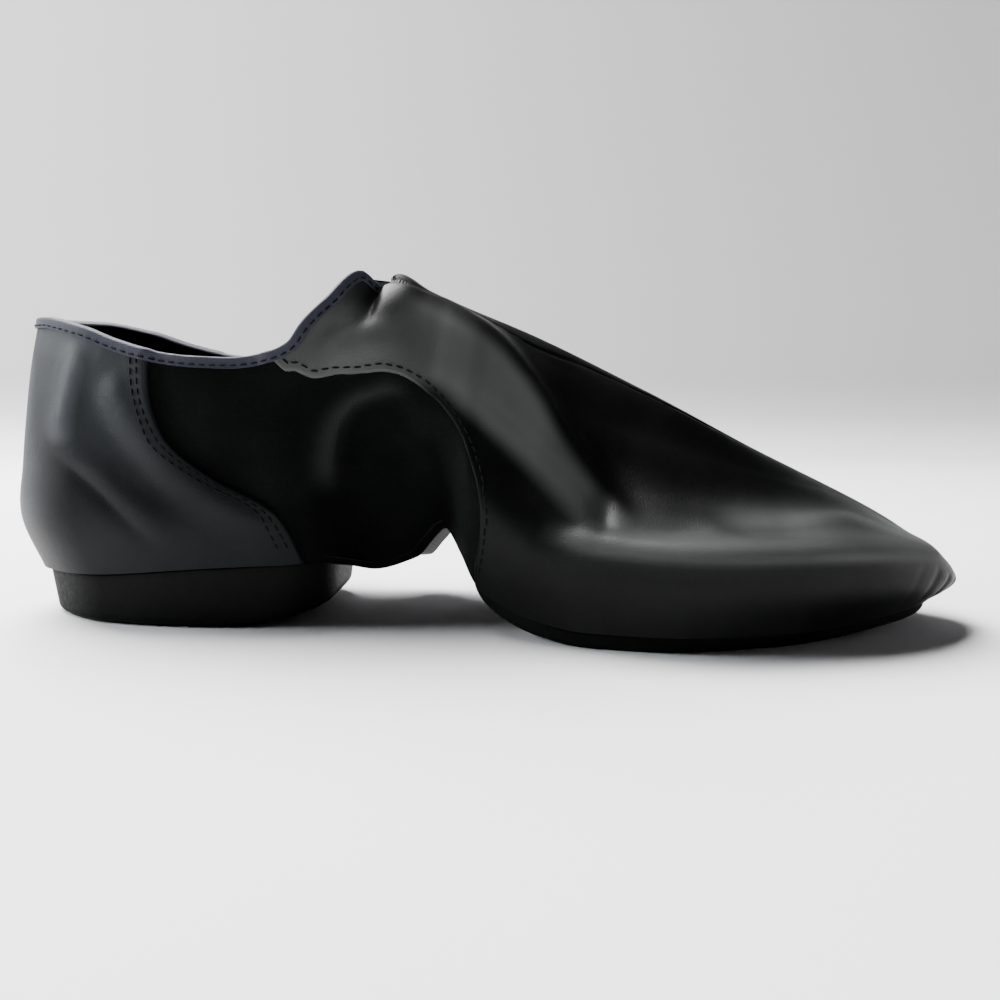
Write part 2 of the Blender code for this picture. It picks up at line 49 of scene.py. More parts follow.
lastSizes = {
    "length": 0.250,
    "ballWidth": 0.084,
    "instepHeight": 0.0893,
    "heelHeight": 0.0140,
    "archRise": 0.0240,
    "forefootLift": 0.0041,  # forefoot sole and its gap
    "heelRestX": 0.035,  # from the heel's back to the frame's origin
    "throatAt": 0.401,  # where the collar ends and the ridge begins
    "crownBlend": 0.2,
}

# Curves by share of the length: the underside's heel and forefoot heights and its arch, the ridge's
# sideways lean, the top line, and the notch between the flap's corner and the tongue
lastCurves = {
    "heel": ((0, 0.1, 0.23, 0.32, 0.38, 0.43, 0.45, 0.47, 0.49, 0.507, 1),
             (0.89, 0.97, 1.14, 1.18, 0.9, 0.7, 0.5, 0.3, 0.1, 0, 0)),
    "fore": ((0, 0.47, 0.49, 0.507, 1), (0, 0, 0.6, 1, 1)),
    "rise": ((0, 0.38, 0.43, 0.45, 0.47, 0.49, 0.507, 0.53, 0.57, 0.62, 0.8, 0.86, 0.93, 1),
             (0, 0, 0.22, 0.56, 0.83, 0.64, 0.35, 0.2, 0.06, 0, 0, 0.02, 0.08, 0.16)),
    "lean": ((0, 0.53, 0.57, 0.62, 0.7, 0.8, 0.86, 0.93, 1),
             (0, 0, -0.005, -0.01, -0.02, -0.035, -0.045, -0.05, -0.05)),
    "top": ((0, 0.03, 0.081, 0.122, 0.162, 0.203, 0.245, 0.286, 0.305, 0.32, 0.342, 0.37, 0.387,
             0.401, 0.436, 0.479, 0.545, 0.676, 0.807, 0.939, 0.983, 1),
            (0.868, 0.866, 0.838, 0.8, 0.773, 0.76, 0.756, 0.772, 0.796, 0.853, 0.915, 0.993, 0.997,
             1, 0.95, 0.899, 0.826, 0.657, 0.474, 0.293, 0.205, 0.155)),
    "notch": ((0, 0.37, 0.387, 0.401, 1), (0, 0, 0.04, 0, 0)),
}

# Sections in percent: place along the length, half width and, for five named points, In (share of the
# half width) and Up (share of the height)
sectionColumns = (
    "at", "width", "footIn", "footUp", "rimIn", "rimUp", "ledgeIn", "ledgeUp",
    "slopeIn", "slopeUp", "shoulderIn", "shoulderUp", "crownIn",
)
medialSections = (
    ( 0.0,  0.0, 90,   0, 100, 22,  98, 42, 92, 62, 83,   82, 76),
    ( 3.0, 20.5, 90,   0, 100, 22,  98, 42, 92, 62, 83,   82, 76),
    (10.0, 32.1, 92,   0, 100, 22,  98, 42, 93, 62, 86,   82, 80),
    (20.0, 35.1, 92,   0, 100, 23,  99, 42, 96, 62, 92,   82, 88),
    (30.0, 33.3, 88,   0,  99, 24, 100, 44, 98, 62, 96,   82, 92),
    (33.5, 32.0, 78,   0,  84, 21,  94, 42, 98, 60, 95,   82, 86),
    (37.0, 30.3, 48,   0,  43, 17,  67, 39, 95, 61, 94,   80, 62),
    (38.7, 29.9, 41,   0,  35, 15,  57, 37, 95, 62, 91,   81, 36),
    (40.1, 29.8, 38,   0,  32, 14,  54, 36, 95, 62, 87,   82,  0),
    (42.5, 30.1, 37,   0,  31, 13,  54, 35, 95, 61, 82,   82,  0),
    (46.0, 32.1, 42,   0,  42, 12,  70, 33, 94, 54, 72,   79,  0),
    (50.0, 36.9, 86,   0,  97, 20, 100, 38, 87, 59, 59,   81,  0),
    (56.0, 42.9, 90,   0, 100, 26,  94, 41, 68, 60, 40,   81,  0),
    (64.0, 48.2, 94,   0, 100, 34,  83, 43, 51, 55, 27,   79,  0),
    (70.0, 50.0, 94,   0, 100, 37,  81, 48, 49, 58, 26,   80,  0),
    (80.0, 44.0, 93,   0, 100, 47,  82, 63, 54, 71, 28,   87,  0),
    (88.0, 34.5, 92,   0, 100, 58,  81, 81, 55, 89, 28,   96,  0),
    (95.0, 22.6, 90,   0, 100, 58,  83, 83, 56, 94, 28, 98.5,  0),
    (100.0,  0.0, 90,   0, 100, 50,  83, 80, 56, 94, 28, 98.5,  0),
)
lateralSections = (
    ( 0.0,  0.0, 90,   0, 100, 22,  98, 42, 92, 62, 83,   82, 76),
    ( 3.0, 20.5, 90,   0, 100, 22,  98, 42, 92, 62, 83,   82, 76),
    (10.0, 31.8, 92,   0, 100, 22,  98, 42, 93, 62, 86,   82, 80),
    (20.0, 34.5, 92,   0, 100, 23,  99, 42, 95, 62, 91,   82, 88),
    (30.0, 34.5, 90,   0,  99, 24,  99, 44, 95, 62, 91,   82, 89),
    (37.0, 34.8, 84,   0,  92, 22,  97, 42, 93, 62, 86,   81, 54),
    (38.7, 35.2, 82,  -2,  91, 21,  97, 41, 92, 62, 83,   82, 31),
    (40.1, 35.6, 81,  -4,  90, 20,  96, 41, 91, 62, 80,   82,  0),
    (46.0, 37.8, 80, -10,  91, 20,  96, 40, 86, 60, 64,   81,  0),
    (49.0, 39.6, 84,   0,  96, 22,  97, 40, 80, 60, 53,   81,  0),
    (56.0, 43.8, 90,   0, 100, 27,  93, 42, 68, 60, 40,   81,  0),
    (64.0, 47.0, 94,   0, 100, 34,  84, 45, 54, 57, 29,   79,  0),
    (70.0, 47.0, 94,   0, 100, 37,  82, 49, 51, 60, 28,   80,  0),
    (80.0, 42.0, 93,   0, 100, 47,  82, 63, 54, 72, 28,   87,  0),
    (88.0, 33.0, 92,   0, 100, 58,  81, 81, 55, 89, 28,   96,  0),
    (95.0, 21.4, 90,   0, 100, 58,  83, 83, 56, 94, 28, 98.5,  0),
    (100.0,  0.0, 90,   0, 100, 50,  83, 80, 56, 94, 28, 98.5,  0),
)

# Where each point lies at the heel's and the toe's end, as shares of the length
lastEnds = {
    "point": ("foot", "rim", "ledge", "slope", "shoulder", "crown"),
    "heel":  (0.027, 0.007, 0.012, 0.018, 0.025, 0.035),
    "toe":   (0.969, 0.991, 0.989, 0.987, 0.985, 0.983),
}


# A cubic between two values with their slopes, at a share s of the step
def cubic(s, step, start, end, startSlope, endSlope):
    return (start * (1 + 2 * s) * (1 - s) ** 2 + startSlope * step * s * (1 - s) ** 2
            + end * s * s * (3 - 2 * s) + endSlope * step * s * s * (s - 1))


# Smooth reading of a table column: a cubic between rows, with slopes from the harmonic mean of the
# neighbouring rates, so that it never overshoots
def readColumn(x, y, where):
    x, y, where = np.asarray(x, float), np.asarray(y, float), np.asarray(where, float)
    step = np.diff(x)
    rate = np.diff(y) / step
    before, after = rate[:-1], rate[1:]
    sameWay = before * after > 0
    early, late = 2 * step[1:] + step[:-1], step[1:] + 2 * step[:-1]
    mean = (early + late) / (early / np.where(sameWay, before, 1) + late / np.where(sameWay, after, 1))
    slope = np.concatenate([rate[:1], np.where(sameWay, mean, 0), rate[-1:]])
    row = np.clip(np.searchsorted(x, where, side="right") - 1, 0, len(x) - 2)
    s = np.clip((where - x[row]) / step[row], 0, 1)
    return cubic(s, step[row], y[row], y[row + 1], slope[row], slope[row + 1])


# A share of the length as an angle from heel to toe, and back
def turn(at):
    return np.arccos(np.clip(1 - 2 * np.asarray(at, float), -1, 1))


def unturn(angle):
    return (1 - np.cos(angle)) / 2


def readCurve(name, at):
    rows, values = lastCurves[name]
    return readColumn(turn(rows), values, turn(at))


def underside(at):
    heights = {"heel": "heelHeight", "fore": "forefootLift", "rise": "archRise"}
    return sum(readCurve(name, at) * lastSizes[height] for name, height in heights.items())


def centreLine(at):
    return lastSizes["ballWidth"] * readCurve("lean", at)


def readSections(side, at):
    table = np.array(medialSections if side == medial else lateralSections) / 100
    rows, where = turn(table[:, 0]), turn(at)
    return {name: readColumn(rows, table[:, i], where) for i, name in enumerate(sectionColumns) if i}


# The place along the foot of a section's point, by the point's number
def placeAlong(at, number=0):
    heel, toe = lastEnds["heel"][number], lastEnds["toe"][number]
    return lastSizes["length"] * (heel + at * (toe - heel)) - lastSizes["heelRestX"]


# The last's skin on one side. Level 0 is the feather edge, 1 the rim, then ledge, slope, shoulder and
# 5 the collar or ridge: a cubic through the six points, stepped by the root of each chord. Below 0 the
# level runs straight in from the feather edge to the centre line at -1
def lastSide(side, at, level):
    at, level = np.broadcast_arrays(np.asarray(at, float), np.asarray(level, float))
    shape = at.shape
    at, level = at.ravel(), level.ravel()
    shares = readSections(side, at)
    low, high, lean = underside(at), lastSizes["instepHeight"] * readCurve("top", at), centreLine(at)
    half = shares["width"] * lastSizes["ballWidth"]
    points = np.empty((6, at.size, 3))
    for number, name in enumerate(lastEnds["point"]):
        across = side * half * shares[name + "In"] + lean
        up = low + shares.get(name + "Up", 1) * (high - low)
        points[number] = np.stack([placeAlong(at, number), across, up], 1)
    points[-1, :, 2] -= readCurve("notch", at) * lastSizes["instepHeight"]
    step = np.sqrt(np.linalg.norm(np.diff(points, axis=0), axis=2, keepdims=True)) + 1e-9
    rate = np.diff(points, axis=0) / step
    slope = np.empty_like(points)
    slope[0] = rate[0]
    slope[1:-1] = (rate[:-1] * step[1:] + rate[1:] * step[:-1]) / (step[1:] + step[:-1])
    openShare = np.clip(shares["crownIn"] / lastSizes["crownBlend"], 0, 1)[:, None]
    flatCrown = np.zeros_like(rate[-1])
    flatCrown[:, 1] = -side * np.linalg.norm(rate[-1], axis=1)
    slope[-1] = openShare * rate[-1] + (1 - openShare) * flatCrown
    row, place = np.clip(level.astype(int), 0, 4), np.arange(at.size)
    s = np.clip(level - row, 0, 1)[:, None]
    skin = cubic(s, step[row, place], points[row, place], points[row + 1, place],
                 slope[row, place], slope[row + 1, place])
    skin[:, 1:] += (np.stack([lean, low], 1) - skin[:, 1:]) * np.clip(-level, 0, 1)[:, None]
    return skin.reshape(shape + (3,))


def last(side, at, level):
    side, at, level = np.broadcast_arrays(side, at, level)
    return np.where((side < 0)[..., None], lastSide(medial, at, level), lastSide(lateral, at, level))


# Outward normals of a grid of points: the cross product of its two central differences
def gridNormals(grid, sign=1):
    normal = np.cross(np.gradient(grid, axis=1), np.gradient(grid, axis=0)) * sign
    return normal / (np.linalg.norm(normal, axis=-1, keepdims=True) + 1e-12)

def unit(vectors):
    return vectors / np.maximum(np.linalg.norm(vectors, axis=-1, keepdims=True), 1e-12)


# A soft step from 0 at low to 1 at high
def softStep(value, low, high):
    t = np.clip((value - low) / (high - low), 0, 1)
    return t * t * (3 - 2 * t)


# Running length at each point of a path, and points read from it at other lengths: straight between
# the path's own, or on the smooth curve through them
def runLength(path, least=0.0):
    return np.concatenate([[0], np.cumsum(np.maximum(np.linalg.norm(np.diff(path, axis=0), axis=1), least))])


def pathAt(path, run, where):
    return np.stack([np.interp(where, run, column) for column in path.T], 1)


def curveAt(knots, run, where):
    return np.stack([readColumn(run, column, where) for column in knots.T], 1)


# How far points lie from a curve through knots in the side view, in millimetres from the heel's back
# and the floor: the signed distance, positive on the heading's right, and the share of its length. The
# curve goes straight on past both ends, so that the sign holds there
def alongCurve(points, knots, beyond=60, samples=200, skip=4):
    knots = np.array(knots, float)
    first, final = (end + unit(end - inner) * beyond for end, inner in (knots[:2], knots[:-3:-1]))
    knots = np.concatenate([[first], knots, [final]])
    chord = runLength(knots)
    run = np.linspace(0, chord[-1], samples)
    curve = curveAt(knots, chord, run)
    flat = sideView(points).reshape(-1, 2)
    near = np.argmin(((flat[:, None] - curve[None, ::skip]) ** 2).sum(2), axis=1) * skip
    tries = np.clip(near[:, None] + np.arange(-skip, skip + 1), 0, samples - 1)
    close = ((flat[:, None] - curve[tries]) ** 2).sum(2)
    near = np.take_along_axis(tries, np.argmin(close, axis=1)[:, None], 1)[:, 0]
    way = unit(np.gradient(curve, axis=0))
    gap = flat - curve[near]
    signed = gap[:, 0] * way[near, 1] - gap[:, 1] * way[near, 0]
    share = (run[near] + (gap * way[near]).sum(1) - chord[1]) / (chord[-2] - chord[1])
    return signed.reshape(points.shape[:-1]), share.reshape(points.shape[:-1])


# Points as millimetres from the heel's back and over the floor
def sideView(points):
    return np.stack([(points[..., 0] + lastSizes["heelRestX"]) / mm, points[..., 2] / mm], axis=-1)


# The last's (at, level) nearest to each side-view point, from a fine grid of the skin
def placeOnLast(side, targets, atRange):
    at, level = np.meshgrid(np.linspace(*atRange, 420), np.linspace(0, 5, 420), indexing="ij")
    flat = sideView(lastSide(side, at, level)).reshape(-1, 2)
    found = [np.argmin(((flat - np.array(target)) ** 2).sum(1)) for target in targets]
    return at.ravel()[found], level.ravel()[found]


edgeKnots = {
    # x from the heel's back and height, in millimetres, from the collar down to the sole
    "vampMedial": ((78, 64.8), (87.5, 62.8), (97.4, 63.8), (106, 64.2), (113.5, 60.8), (119, 55),
                   (123.4, 48), (126.5, 40), (128, 32), (127.7, 24.4), (126.2, 18), (125.3, 12)),
    "vampLateral": ((78, 64), (86, 59.5), (95, 55.5), (104, 50), (112, 43), (118, 35),
                    (122, 26), (124.5, 16)),
    "vampAtCollar": 0.283,
    "counter": {"level": (0, 1, 2, 3, 4, 5),
                "at": (0.322, 0.308, 0.245, 0.190, 0.166, 0.155)},
}


# The vamp's rear edge as a path from the lasted margin (share 0) up to the place on the collar that both
# sides have in common (share 1): its turned share of the length and its level, smoothed a few times
def vampEdgePath(side, margin, wanted, samples=41, skipped=4, rounds=3):
    knots = np.array(edgeKnots["vampMedial" if side < 0 else "vampLateral"], float)
    chord = runLength(knots)
    curve = curveAt(knots, chord, np.linspace(0, chord[-1], samples)[skipped:])
    path = np.stack(placeOnLast(side, curve, (0.25, 0.60)))
    for _ in range(rounds):
        path[:, 1:-1] = (path[:, :-2] + 2 * path[:, 1:-1] + path[:, 2:]) / 4
    at = np.concatenate([[edgeKnots["vampAtCollar"]], path[0], path[0, -1:], path[0, -1:]])
    level = np.concatenate([[5.0], path[1], [0.0, -margin]])
    run = runLength(last(side, at, level), 1e-5)
    feather = 1 - run[-2] / run[-1]
    share = wanted(feather)
    where = (1 - share) * run[-1]
    return share, feather, readColumn(run, turn(at), where), readColumn(run, level, where)


def counterEdge(level):
    return readColumn(edgeKnots["counter"]["level"], edgeKnots["counter"]["at"], np.clip(level, 0, 5))


print("stage: shapes of the worn skin")

# Soft troughs and ridges that the empty shoe has on its medial side, in millimetres. Each follows a
# curve in the side view and is a sum of waves: height, centre's distance to the heading's right of the
# curve, and the widths on its left and on its right. ends are the shares over which it fades in and
# out, and lateral its share of depth on the shoe's other side
wornForm = {
    "crest": {"knots": ((100, 86.8), (109.7, 83), (121, 77.5), (130, 71.5), (137, 64),
                        (142.8, 56), (147, 48.5), (152, 41.5), (158, 34.5), (166, 28)),
              "waves": ((2.3, 0, 2.6, 9), (-1.7, -7.5, 5.5, 4.5)), "ends": (0.10, 0.22), "lateral": 0.25},
    "bandRidge": {"knots": ((117, 65), (124.9, 58.7), (132, 52.4), (139.5, 45), (146.7, 37.6),
                            (152.8, 31.2), (157, 26.5)),
                  "waves": ((1.2, 0, 2.4, 3.4), (-0.9, 6, 4, 5)), "ends": (0.35, 0.15), "lateral": 0.2},
    "rim": {"knots": ((140, 26.8), (150, 25.6), (167, 24.4), (178, 24.1), (192, 23.8),
                      (206, 23.6), (221, 22.8), (236, 20.6), (248, 16)),
            "waves": ((0.9, 0, 2.6, 2.2), (-0.7, -5, 3, 3), (-0.4, 5, 2.5, 3)),
            "ends": (0.14, 0.10), "lateral": 0.9},
    "crescent": {"knots": ((87.5, 32), (88.9, 38), (89.9, 44.8), (91.6, 51), (95, 56),
                           (100, 59), (106, 60.6), (112, 60)),
                 "waves": ((1.7, 0, 2.8, 2), (-1.6, 6, 3.5, 5), (-0.8, -6, 4, 4)),
                 "ends": (0.30, 0.25), "lateral": 0.2},
    "counterFold": {"knots": ((41, 66), (42, 61), (44.5, 56), (49.3, 50.4), (56.7, 43),
                              (66.5, 35.8), (75.8, 29.6), (84, 22.4)),
                    "waves": ((0.9, 3.6, 2.6, 4), (-0.5, 11, 4, 5)), "ends": (0.10, 0.25),
                    "lateral": 0.8},
    "counterStreak": {"knots": ((30, 71), (26.4, 65), (24.8, 58.7), (23.4, 52.6), (22.4, 44)),
                      "waves": ((0.7, 0, 3, 3.5), (-0.4, 7, 3, 4)), "ends": (0.20, 0.35),
                      "lateral": 0.8},
    "counterCrease": {"knots": ((18, 44), (26.2, 40.1), (33, 35.2), (38.4, 30.5), (44.4, 25),
                                (51, 20)),
                      "waves": ((-0.5, 0, 2, 2.4), (0.35, -4.5, 2.5, 2.5)), "ends": (0.30, 0.30),
                      "lateral": 0.6},
    "flapFold": {"knots": ((84, 70), (92, 75), (100, 77.5), (110, 76.5)),
                 "waves": ((-0.5, 0, 2.6, 2.6), (0.4, 5, 3, 3)), "ends": (0.35, 0.40), "lateral": 0.5},
}

# Where a painted highlight lightens the leather and cloth, as curves in the side view: the painted bright band of
# the vamp lies to the left of its foot's heading and ends at the crest; the rest are painted highlight strips along
# a curve, with their strength and their widths on its left and on its right
bandFoot = ((60, 58), (78, 60), (95, 60.5), (108, 62), (116, 61.5), (123, 57),
            (131, 50), (138.5, 43), (145.7, 36), (152, 29.5), (160, 24.5))
throatShade = {"place": (102, 85), "core": 3, "reach": 12, "depth": 0.9}  # painted highlight held back by the throat
paintedHighlightStrips = {
    "vamp": ((wornForm["rim"]["knots"], 1, 3.4, 1.6),
             (((180, 29), (198, 28.5), (216, 26.8), (234, 24), (246, 20)), 0.7, 3.6, 4)),
    "counter": ((wornForm["counterStreak"]["knots"], 0.75, 4, 4.5),
                (((6, 20), (4, 40), (5, 60), (9, 76)), 0.8, 9, 9),
                (((8, 74), (22, 72), (38, 68)), 0.6, 8, 8)),
    "panel": ((wornForm["crescent"]["knots"], 1, 3, 2.2),),
}


# How strongly the painted highlight strips of a piece show at each point: bells across each curve, with the
# ends fading over a fifth of its length, and the strongest one counts
def paintedHighlightStrength(points, piece):
    strength = np.zeros(points.shape[:-1])
    for knots, most, left, right in paintedHighlightStrips[piece]:
        distance, share = alongCurve(points, knots)
        bell = np.exp(-((distance / np.where(distance < 0, left, right)) ** 2))
        strength = np.maximum(strength, most * bell * softStep(share, 0, 0.2) * softStep(1 - share, 0, 0.2))
    return strength


# Small pits: place in the side view, half length, half height and depth
wornPits = {
    "dimple": (157, 31.5, 2.6, 3.4, 1.3),
    "oval": (174.5, 28.8, 8, 1.7, 1),
    "ledge": (196, 28.5, 12, 2.2, 0.5),
}

# Pleats where the vamp is drawn in round the toe
toePleats = {"depth": 0.35, "angles": (2.55, 2.85), "count": 6, "levels": (0.10, 0.45, 1, 1.5)}


def wornRelief(points, side, at, level):
    flat = sideView(points)
    relief = np.zeros(points.shape[:-1])
    for form in wornForm.values():
        distance, share = alongCurve(points, form["knots"])
        start, end = form["ends"]
        fade = softStep(share, 0, start) * softStep(1 - share, 0, end)
        fade = fade * np.where(side < 0, 1.0, form["lateral"])
        for height, centre, left, right in form["waves"]:
            wide = np.where(distance < centre, left, right)
            relief += height * fade * np.exp(-(((distance - centre) / wide) ** 2))
    for x, z, length, tall, depth in wornPits.values():
        pit = np.exp(-(((flat[..., 0] - x) / length) ** 2) - ((flat[..., 1] - z) / tall) ** 2)
        relief -= depth * pit * np.where(side < 0, 1.0, 0.3)
    fromCentre = np.abs(points[..., 1] - centreLine(at)) / mm
    relief *= softStep(fromCentre, 0.5, 7.0) * softStep(level, 0.0, 0.35)
    start, full = toePleats["angles"]
    low, most, hold, high = toePleats["levels"]
    angle = turn(at)
    reach = softStep(level, low, most) * (1 - softStep(level, hold, high)) * softStep(angle, start, full)
    wave = np.cos((angle - start) / (math.pi - start) * toePleats["count"] * 2 * math.pi)
    return relief - toePleats["depth"] * reach * (0.5 + 0.5 * wave) ** 2


# The worn skin on a grid, and its outward normals: the last moved along its normals by the relief
def wornSkin(side, at, level, sign=1):
    side, at, level = np.broadcast_arrays(side, at, level)
    grid = last(side, at, level)
    relief = wornRelief(grid, side, at, level) * mm
    grid = grid + gridNormals(grid, sign) * relief[..., None]
    return grid, gridNormals(grid, sign)


print("stage: mesh tools")


# A sheet of a closed shell: a fine outer grid, an inner one with every stride-th point, and strips
# that join them along the edges named in rims, each up to an index or, with None, all along. Rows and
# columns of the outer grid are one more than a multiple of the stride
allRound = dict.fromkeys(("firstColumn", "lastColumn", "firstRow", "lastRow"))


def sheetPart(outer, normals, thickness, rims, rub=0.0, stride=4):
    inner = (outer - normals * thickness)[::stride, ::stride]
    outerIds = np.arange(outer[..., 0].size).reshape(outer.shape[:2])
    innerIds = np.arange(inner[..., 0].size).reshape(inner.shape[:2]) + outerIds.size
    faces = quadList(outerIds) + quadList(innerIds, True)
    lines = {
        "firstRow": (outerIds[0], innerIds[0], True),
        "lastRow": (outerIds[-1], innerIds[-1], False),
        "firstColumn": (outerIds[:, 0], innerIds[:, 0], False),
        "lastColumn": (outerIds[:, -1], innerIds[:, -1], True),
    }
    for name, end in rims.items():
        outerEdge, innerEdge, backwards = lines[name]
        for j in range(len(innerEdge) - 1 if end is None else end // stride):
            strip = list(outerEdge[j * stride:(j + 1) * stride + 1])
            ends = [innerEdge[j + 1], innerEdge[j]]
            faces.append(strip[::-1] + ends[::-1] if backwards else strip + ends)
    # strengths of the painted highlight, on the outer points only
    highlightPainted = np.zeros(outerIds.size + innerIds.size)
    highlightPainted[:outerIds.size] = np.ravel(rub)
    return np.concatenate([outer.reshape(-1, 3), inner.reshape(-1, 3)]), faces, highlightPainted


# One object from several sheets, whose points meet where the sheets do
def joinParts(name, parts, turned=True):
    faces, count = [], 0
    for points, partFaces, _ in parts:
        faces += [[index + count for index in (face[::-1] if turned else face)] for face in partFaces]
        count += len(points)
    points, rub = (np.concatenate([part[i] for part in parts]) for i in (0, 2))
    return makeObject(name, points, faces, 60, rub=rub)


def quadList(ids, turned=False):
    a, b, c, d = ids[:-1, :-1], ids[:-1, 1:], ids[1:, 1:], ids[1:, :-1]
    return np.stack([a, d, c, b] if turned else [a, b, c, d], axis=-1).reshape(-1, 4).tolist()


def makeObject(name, points, faces, sharp, weld=4e-6, rub=None, outward=False):
    data = bpy.data.meshes.new(name)
    data.from_pydata(points.tolist(), [], [list(map(int, face)) for face in faces])
    if rub is not None:
        # the painted highlight's strengths as a point attribute for the materials
        data.attributes.new("rub", "FLOAT", "POINT").data.foreach_set("value", rub)
    if weld:
        mesh = bmesh.new()
        mesh.from_mesh(data)
        bmesh.ops.remove_doubles(mesh, verts=mesh.verts, dist=weld)
        bmesh.ops.dissolve_degenerate(mesh, edges=mesh.edges, dist=1e-7)
        if outward:
            bmesh.ops.recalc_face_normals(mesh, faces=mesh.faces)
        mesh.to_mesh(data)
        mesh.free()
    data.shade_smooth()
    data.set_sharp_from_angle(angle=math.radians(sharp))
    thing = bpy.data.objects.new(name, data)
    bpy.context.scene.collection.objects.link(thing)
    return thing


# How much a sheet's face sinks beside an edge, as a quarter round of that radius
def roundedEdge(distance, radius):
    t = np.clip(1 - distance / radius, 0, 1)
    return radius * (1 - np.sqrt(1 - t * t))


# Shares from 0 to 1 with a few close ones at the start, for a rounded edge
def closeAtStart(count, closeEnd, closeSteps):
    close = closeEnd * np.linspace(0, 1, closeSteps, endpoint=False) ** 1.6
    return np.concatenate([close, np.linspace(closeEnd, 1, count - closeSteps)])


print("stage: materials")


class Shade:
    # one socket of a material's nodes; arithmetic on it adds Math nodes

    def __init__(self, tree, socket=None):
        self.tree = tree
        self.socket = socket

    def add(self, kind, settings=None, sockets=None, out=0):
        node = self.tree.nodes.new(kind)
        for name, value in (settings or {}).items():
            setattr(node, name, value)
        for name, value in (sockets or {}).items():
            if isinstance(value, Shade):
                self.tree.links.new(value.socket, node.inputs[name])
            else:
                node.inputs[name].default_value = value
        return Shade(self.tree, node.outputs[out] if len(node.outputs) else None)

    def maths(self, operation, *values):
        return self.add("ShaderNodeMath", {"operation": operation}, dict(enumerate(values)))

    def __add__(self, other):
        return self.maths("ADD", self, other)

    def __rsub__(self, other):
        return self.maths("SUBTRACT", other, self)

    def __mul__(self, other):
        return self.maths("MULTIPLY", self, other)

    def ramp(self, low, high, start=0.0, end=1.0):
        sockets = {"Value": self, "From Min": low, "From Max": high, "To Min": start, "To Max": end}
        return self.add("ShaderNodeMapRange", {"interpolation_type": "SMOOTHSTEP"}, sockets)

    def mixed(self, below, above):
        # from one colour, or colour socket, to another by this value
        ends = (end if isinstance(end, Shade) else (*end, 1) for end in (below, above))
        return self.add("ShaderNodeMix", {"data_type": "RGBA"}, {"Factor": self, **dict(zip((6, 7), ends))}, out=2)

    def noise(self, scale, detail):
        return self.add("ShaderNodeTexNoise", None, {"Vector": self, "Scale": scale, "Detail": detail})

    def bump(self):
        return self.add("ShaderNodeBump", None, {"Strength": 1.0, "Distance": 1.0, "Height": self})


# A new material, and the place on the surface as its first socket
def newMaterial(name):
    made = bpy.data.materials.new(name)
    made.use_nodes = True
    made.node_tree.nodes.clear()
    return made, Shade(made.node_tree).add("ShaderNodeTexCoord", out=3)


def finishMaterial(where, fixed, linked):
    # fixed values are set on the shader's own sockets; linked ones vary over the surface
    surface = where.add("ShaderNodeBsdfPrincipled", None, {**fixed, **linked})
    where.add("ShaderNodeOutputMaterial", None, {"Surface": surface})


# Fine leather: cells of grain with creased borders, mottled colour and uneven gloss, and a paler colour
# of painted highlight where the piece's attribute of painted highlight is high
def leather(name, look):
    made, where = newMaterial(name)
    mottle, fine, wave = where.noise(look["mottle"], 4.0), where.noise(1800.0, 2.0), where.noise(70.0, 3.0)
    cells = where.add("ShaderNodeTexVoronoi", {"feature": "DISTANCE_TO_EDGE"}, {"Vector": where, "Scale": 1500.0})
    grain = cells.ramp(0.0, 0.25)
    height = grain * look["grain"] + fine * (look["grain"] * 0.5) + wave * look["softness"]
    # the strength of the painted highlight, read from the piece's point attribute
    rub = where.add("ShaderNodeAttribute", {"attribute_name": "rub"}, None, out=2)
    plain = mottle.ramp(0.35, 0.68).mixed(look["dark"], look["light"])
    colour = (rub * mottle.ramp(0.2, 0.7, 0.75, 1.0)).mixed(plain, look["highlightPainted"])
    gloss = mottle.ramp(0.3, 0.7, *look["gloss"]) + (1 - grain) * 0.05
    coat = mottle.ramp(0.3, 0.7, look["coat"] * 0.7, look["coat"])
    finishMaterial(where, {"IOR": 1.16, "Coat Roughness": look["coatRough"]},
                   {"Base Color": colour, "Roughness": gloss, "Normal": height.bump(), "Coat Weight": coat})
    return made


# Knitted stretch cloth: fine rows of loops as crossed waves, matte with a little sheen
def stretchCloth(name, look):
    made, where = newMaterial(name)
    along, across = (
        where.add("ShaderNodeTexWave", {"bands_direction": axis, "wave_type": "BANDS"},
                  {"Vector": where, "Scale": look[lines], "Distortion": 0.4, "Detail": 1.0})
        for axis, lines in (("Z", "rows"), ("X", "columns")))
    mottle = where.noise(45.0, 5.0)
    knit = along * across
    height = knit * look["relief"] + mottle * 0.0002
    # a paler colour of painted highlight where the piece's attribute of painted highlight is high
    rub = where.add("ShaderNodeAttribute", {"attribute_name": "rub"}, None, out=2)
    plain = (mottle.ramp(0.3, 0.7) * 0.7 + knit * 0.3).mixed(look["dark"], look["light"])
    finishMaterial(where, {"IOR": look["ior"], "Sheen Weight": look["sheen"], "Sheen Roughness": 0.5},
                   {"Base Color": rub.mixed(plain, look["highlightPainted"]), "Normal": height.bump(),
                    "Roughness": knit.ramp(0.0, 1.0, *look["gloss"])})
    return made


# Suede, rubber or brushed lining: short nap or specks over soft patches
def napped(name, look):
    made, where = newMaterial(name)
    patches, nap = where.noise(look["patches"], 5.0), where.noise(look["specks"], 4.0)
    height = nap * look["nap"] + patches * look["nap"]
    colour = (patches.ramp(0.3, 0.7) * 0.7 + nap * 0.3).mixed(look["dark"], look["light"])
    finishMaterial(where, {"IOR": 1.12, "Sheen Weight": look["sheen"]},
                   {"Base Color": colour, "Roughness": nap.ramp(0.2, 0.8, *look["gloss"]), "Normal": height.bump()})
    return made
